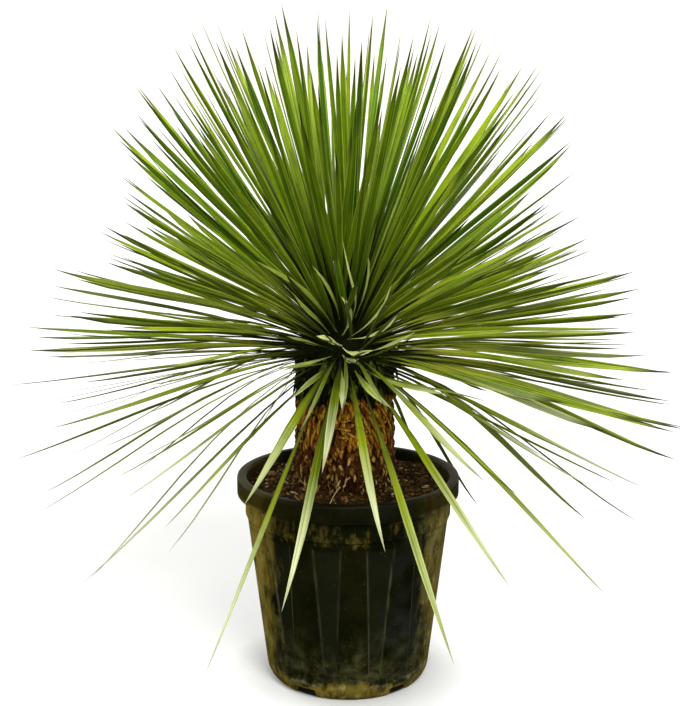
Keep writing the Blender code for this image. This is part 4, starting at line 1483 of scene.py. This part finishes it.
# %% Curl the young leaves
YOUNG_LEAVES = (
    # rows of (column, row, distance in front), then the width in millimetres, green tone and bloom
    (((342, 336, 0.070), (349, 323, 0.120), (349, 308, 0.150), (341, 296, 0.165)), 6.0, 0.6, 0.80),
    (((348, 339, 0.060), (367, 337, 0.110), (387, 327, 0.145), (399, 312, 0.165)), 3.6, 0.6, 0.95),
    (((350, 337, 0.060), (367, 325, 0.105), (383, 306, 0.135), (392, 283, 0.155)), 2.8, 0.6, 0.90),
    (((351, 324, 0.075), (356, 299, 0.125), (350, 276, 0.155), (342, 238, 0.180)), 2.8, 0.7, 0.70),
    (((355, 318, 0.075), (365, 292, 0.125), (369, 266, 0.155), (365, 246, 0.170)), 2.6, 0.7, 0.45),
    (((337, 332, 0.060), (320, 308, 0.120), (296, 284, 0.170), (254, 260, 0.235)), 6.5, 0.65, 0.15),
    (((330, 334, 0.060), (318, 320, 0.105), (305, 308, 0.135), (291, 291, 0.160)), 5.0, 0.65, 0.22),
    (((340, 320, 0.065), (335, 302, 0.110), (325, 282, 0.140), (310, 263, 0.165)), 3.8, 0.7, 0.32),
    (((343, 346, 0.052), (335, 343, 0.085), (326, 338, 0.105), (316, 336, 0.118)), 7.0, 0.6, 1.00),
    (((342, 347, 0.052), (350, 353, 0.085), (362, 353, 0.110), (373, 350, 0.120)), 6.0, 0.6, 1.00),
    (((342, 354, 0.052), (346, 359, 0.075), (352, 361, 0.095), (359, 359, 0.105)), 6.0, 0.6, 1.00),
    (((368, 352, 0.080), (384, 347, 0.110), (400, 340, 0.135), (416, 332, 0.155)), 4.2, 0.6, 0.60),
    (((328, 348, 0.052), (314, 344, 0.080), (301, 340, 0.105), (286, 336, 0.125)), 4.2, 0.6, 0.25),
    (((332, 356, 0.052), (316, 361, 0.085), (299, 365, 0.115), (276, 369, 0.145)), 4.2, 0.6, 0.30),
    (((334, 364, 0.052), (322, 373, 0.085), (309, 383, 0.110), (290, 400, 0.135)), 6.5, 0.6, 0.75),
    (((340, 360, 0.052), (341, 376, 0.095), (342, 392, 0.125), (342, 410, 0.140)), 8.0, 0.7, 1.00),
    (((352, 366, 0.052), (362, 381, 0.090), (374, 394, 0.115), (391, 408, 0.130)), 8.5, 0.75, 0.60),
    (((356, 364, 0.052), (382, 378, 0.100), (412, 387, 0.140), (448, 395, 0.180)), 7.0, 0.8, 0.60),
)
HANGING_ROW = 380
YOUNG_TWIST = 12.0
TOWARDS_VIEWER = Vector((0.0, -1.0, 0.35)).normalized()


def curve_line(points):
    """A line that passes smoothly through its points, with the blade turned to face the viewer."""
    chain = [2 * points[0] - points[1], *points, 2 * points[-1] - points[-2]]
    spans = len(points) - 1

    def place(share):
        index = min(spans - 1, max(0, int(share * spans)))
        part = share * spans - index
        a, b, c, d = chain[index : index + 4]
        bent = (2 * a - 5 * b + 4 * c - d) * part**2 + (3 * b - a - 3 * c + d) * part**3
        return (2 * b + (c - a) * part + bent) / 2

    def line(share):
        ahead = place(share + 0.01) - place(share - 0.01)
        across = ahead.cross(TOWARDS_VIEWER).normalized()
        return place(share), across, across.cross(ahead).normalized()

    return line


bm, groups, layers = copies(blade, len(YOUNG_LEAVES), BLADE_VALUES)
for (rows, width, tone, bloom), group in zip(YOUNG_LEAVES, groups):
    points = [seen_at(column, row, -out) for column, row, out in rows]
    hangs = rows[-1][1] > HANGING_ROW
    values = {"tone": tone, "olive": 0.3, "bloom": bloom, "shade": 0.0, "spine": 0.2}
    values.update(young=0.35 if hangs else 1.0, dark_to=0.40 if hangs else 0.30)
    lay_blade(group, layers, curve_line(points), width / 1000, values, draw.gauss(0, YOUNG_TWIST))
add_piece("young_leaves", bm, leaf_green, "leaf_head")

# %% [markdown]
# ## Clean up
#
# The last step removes the meshes that nothing uses any more.

# %% Finish
for shape in [mesh for mesh in bpy.data.meshes if mesh.users == 0]:
    bpy.data.meshes.remove(shape)
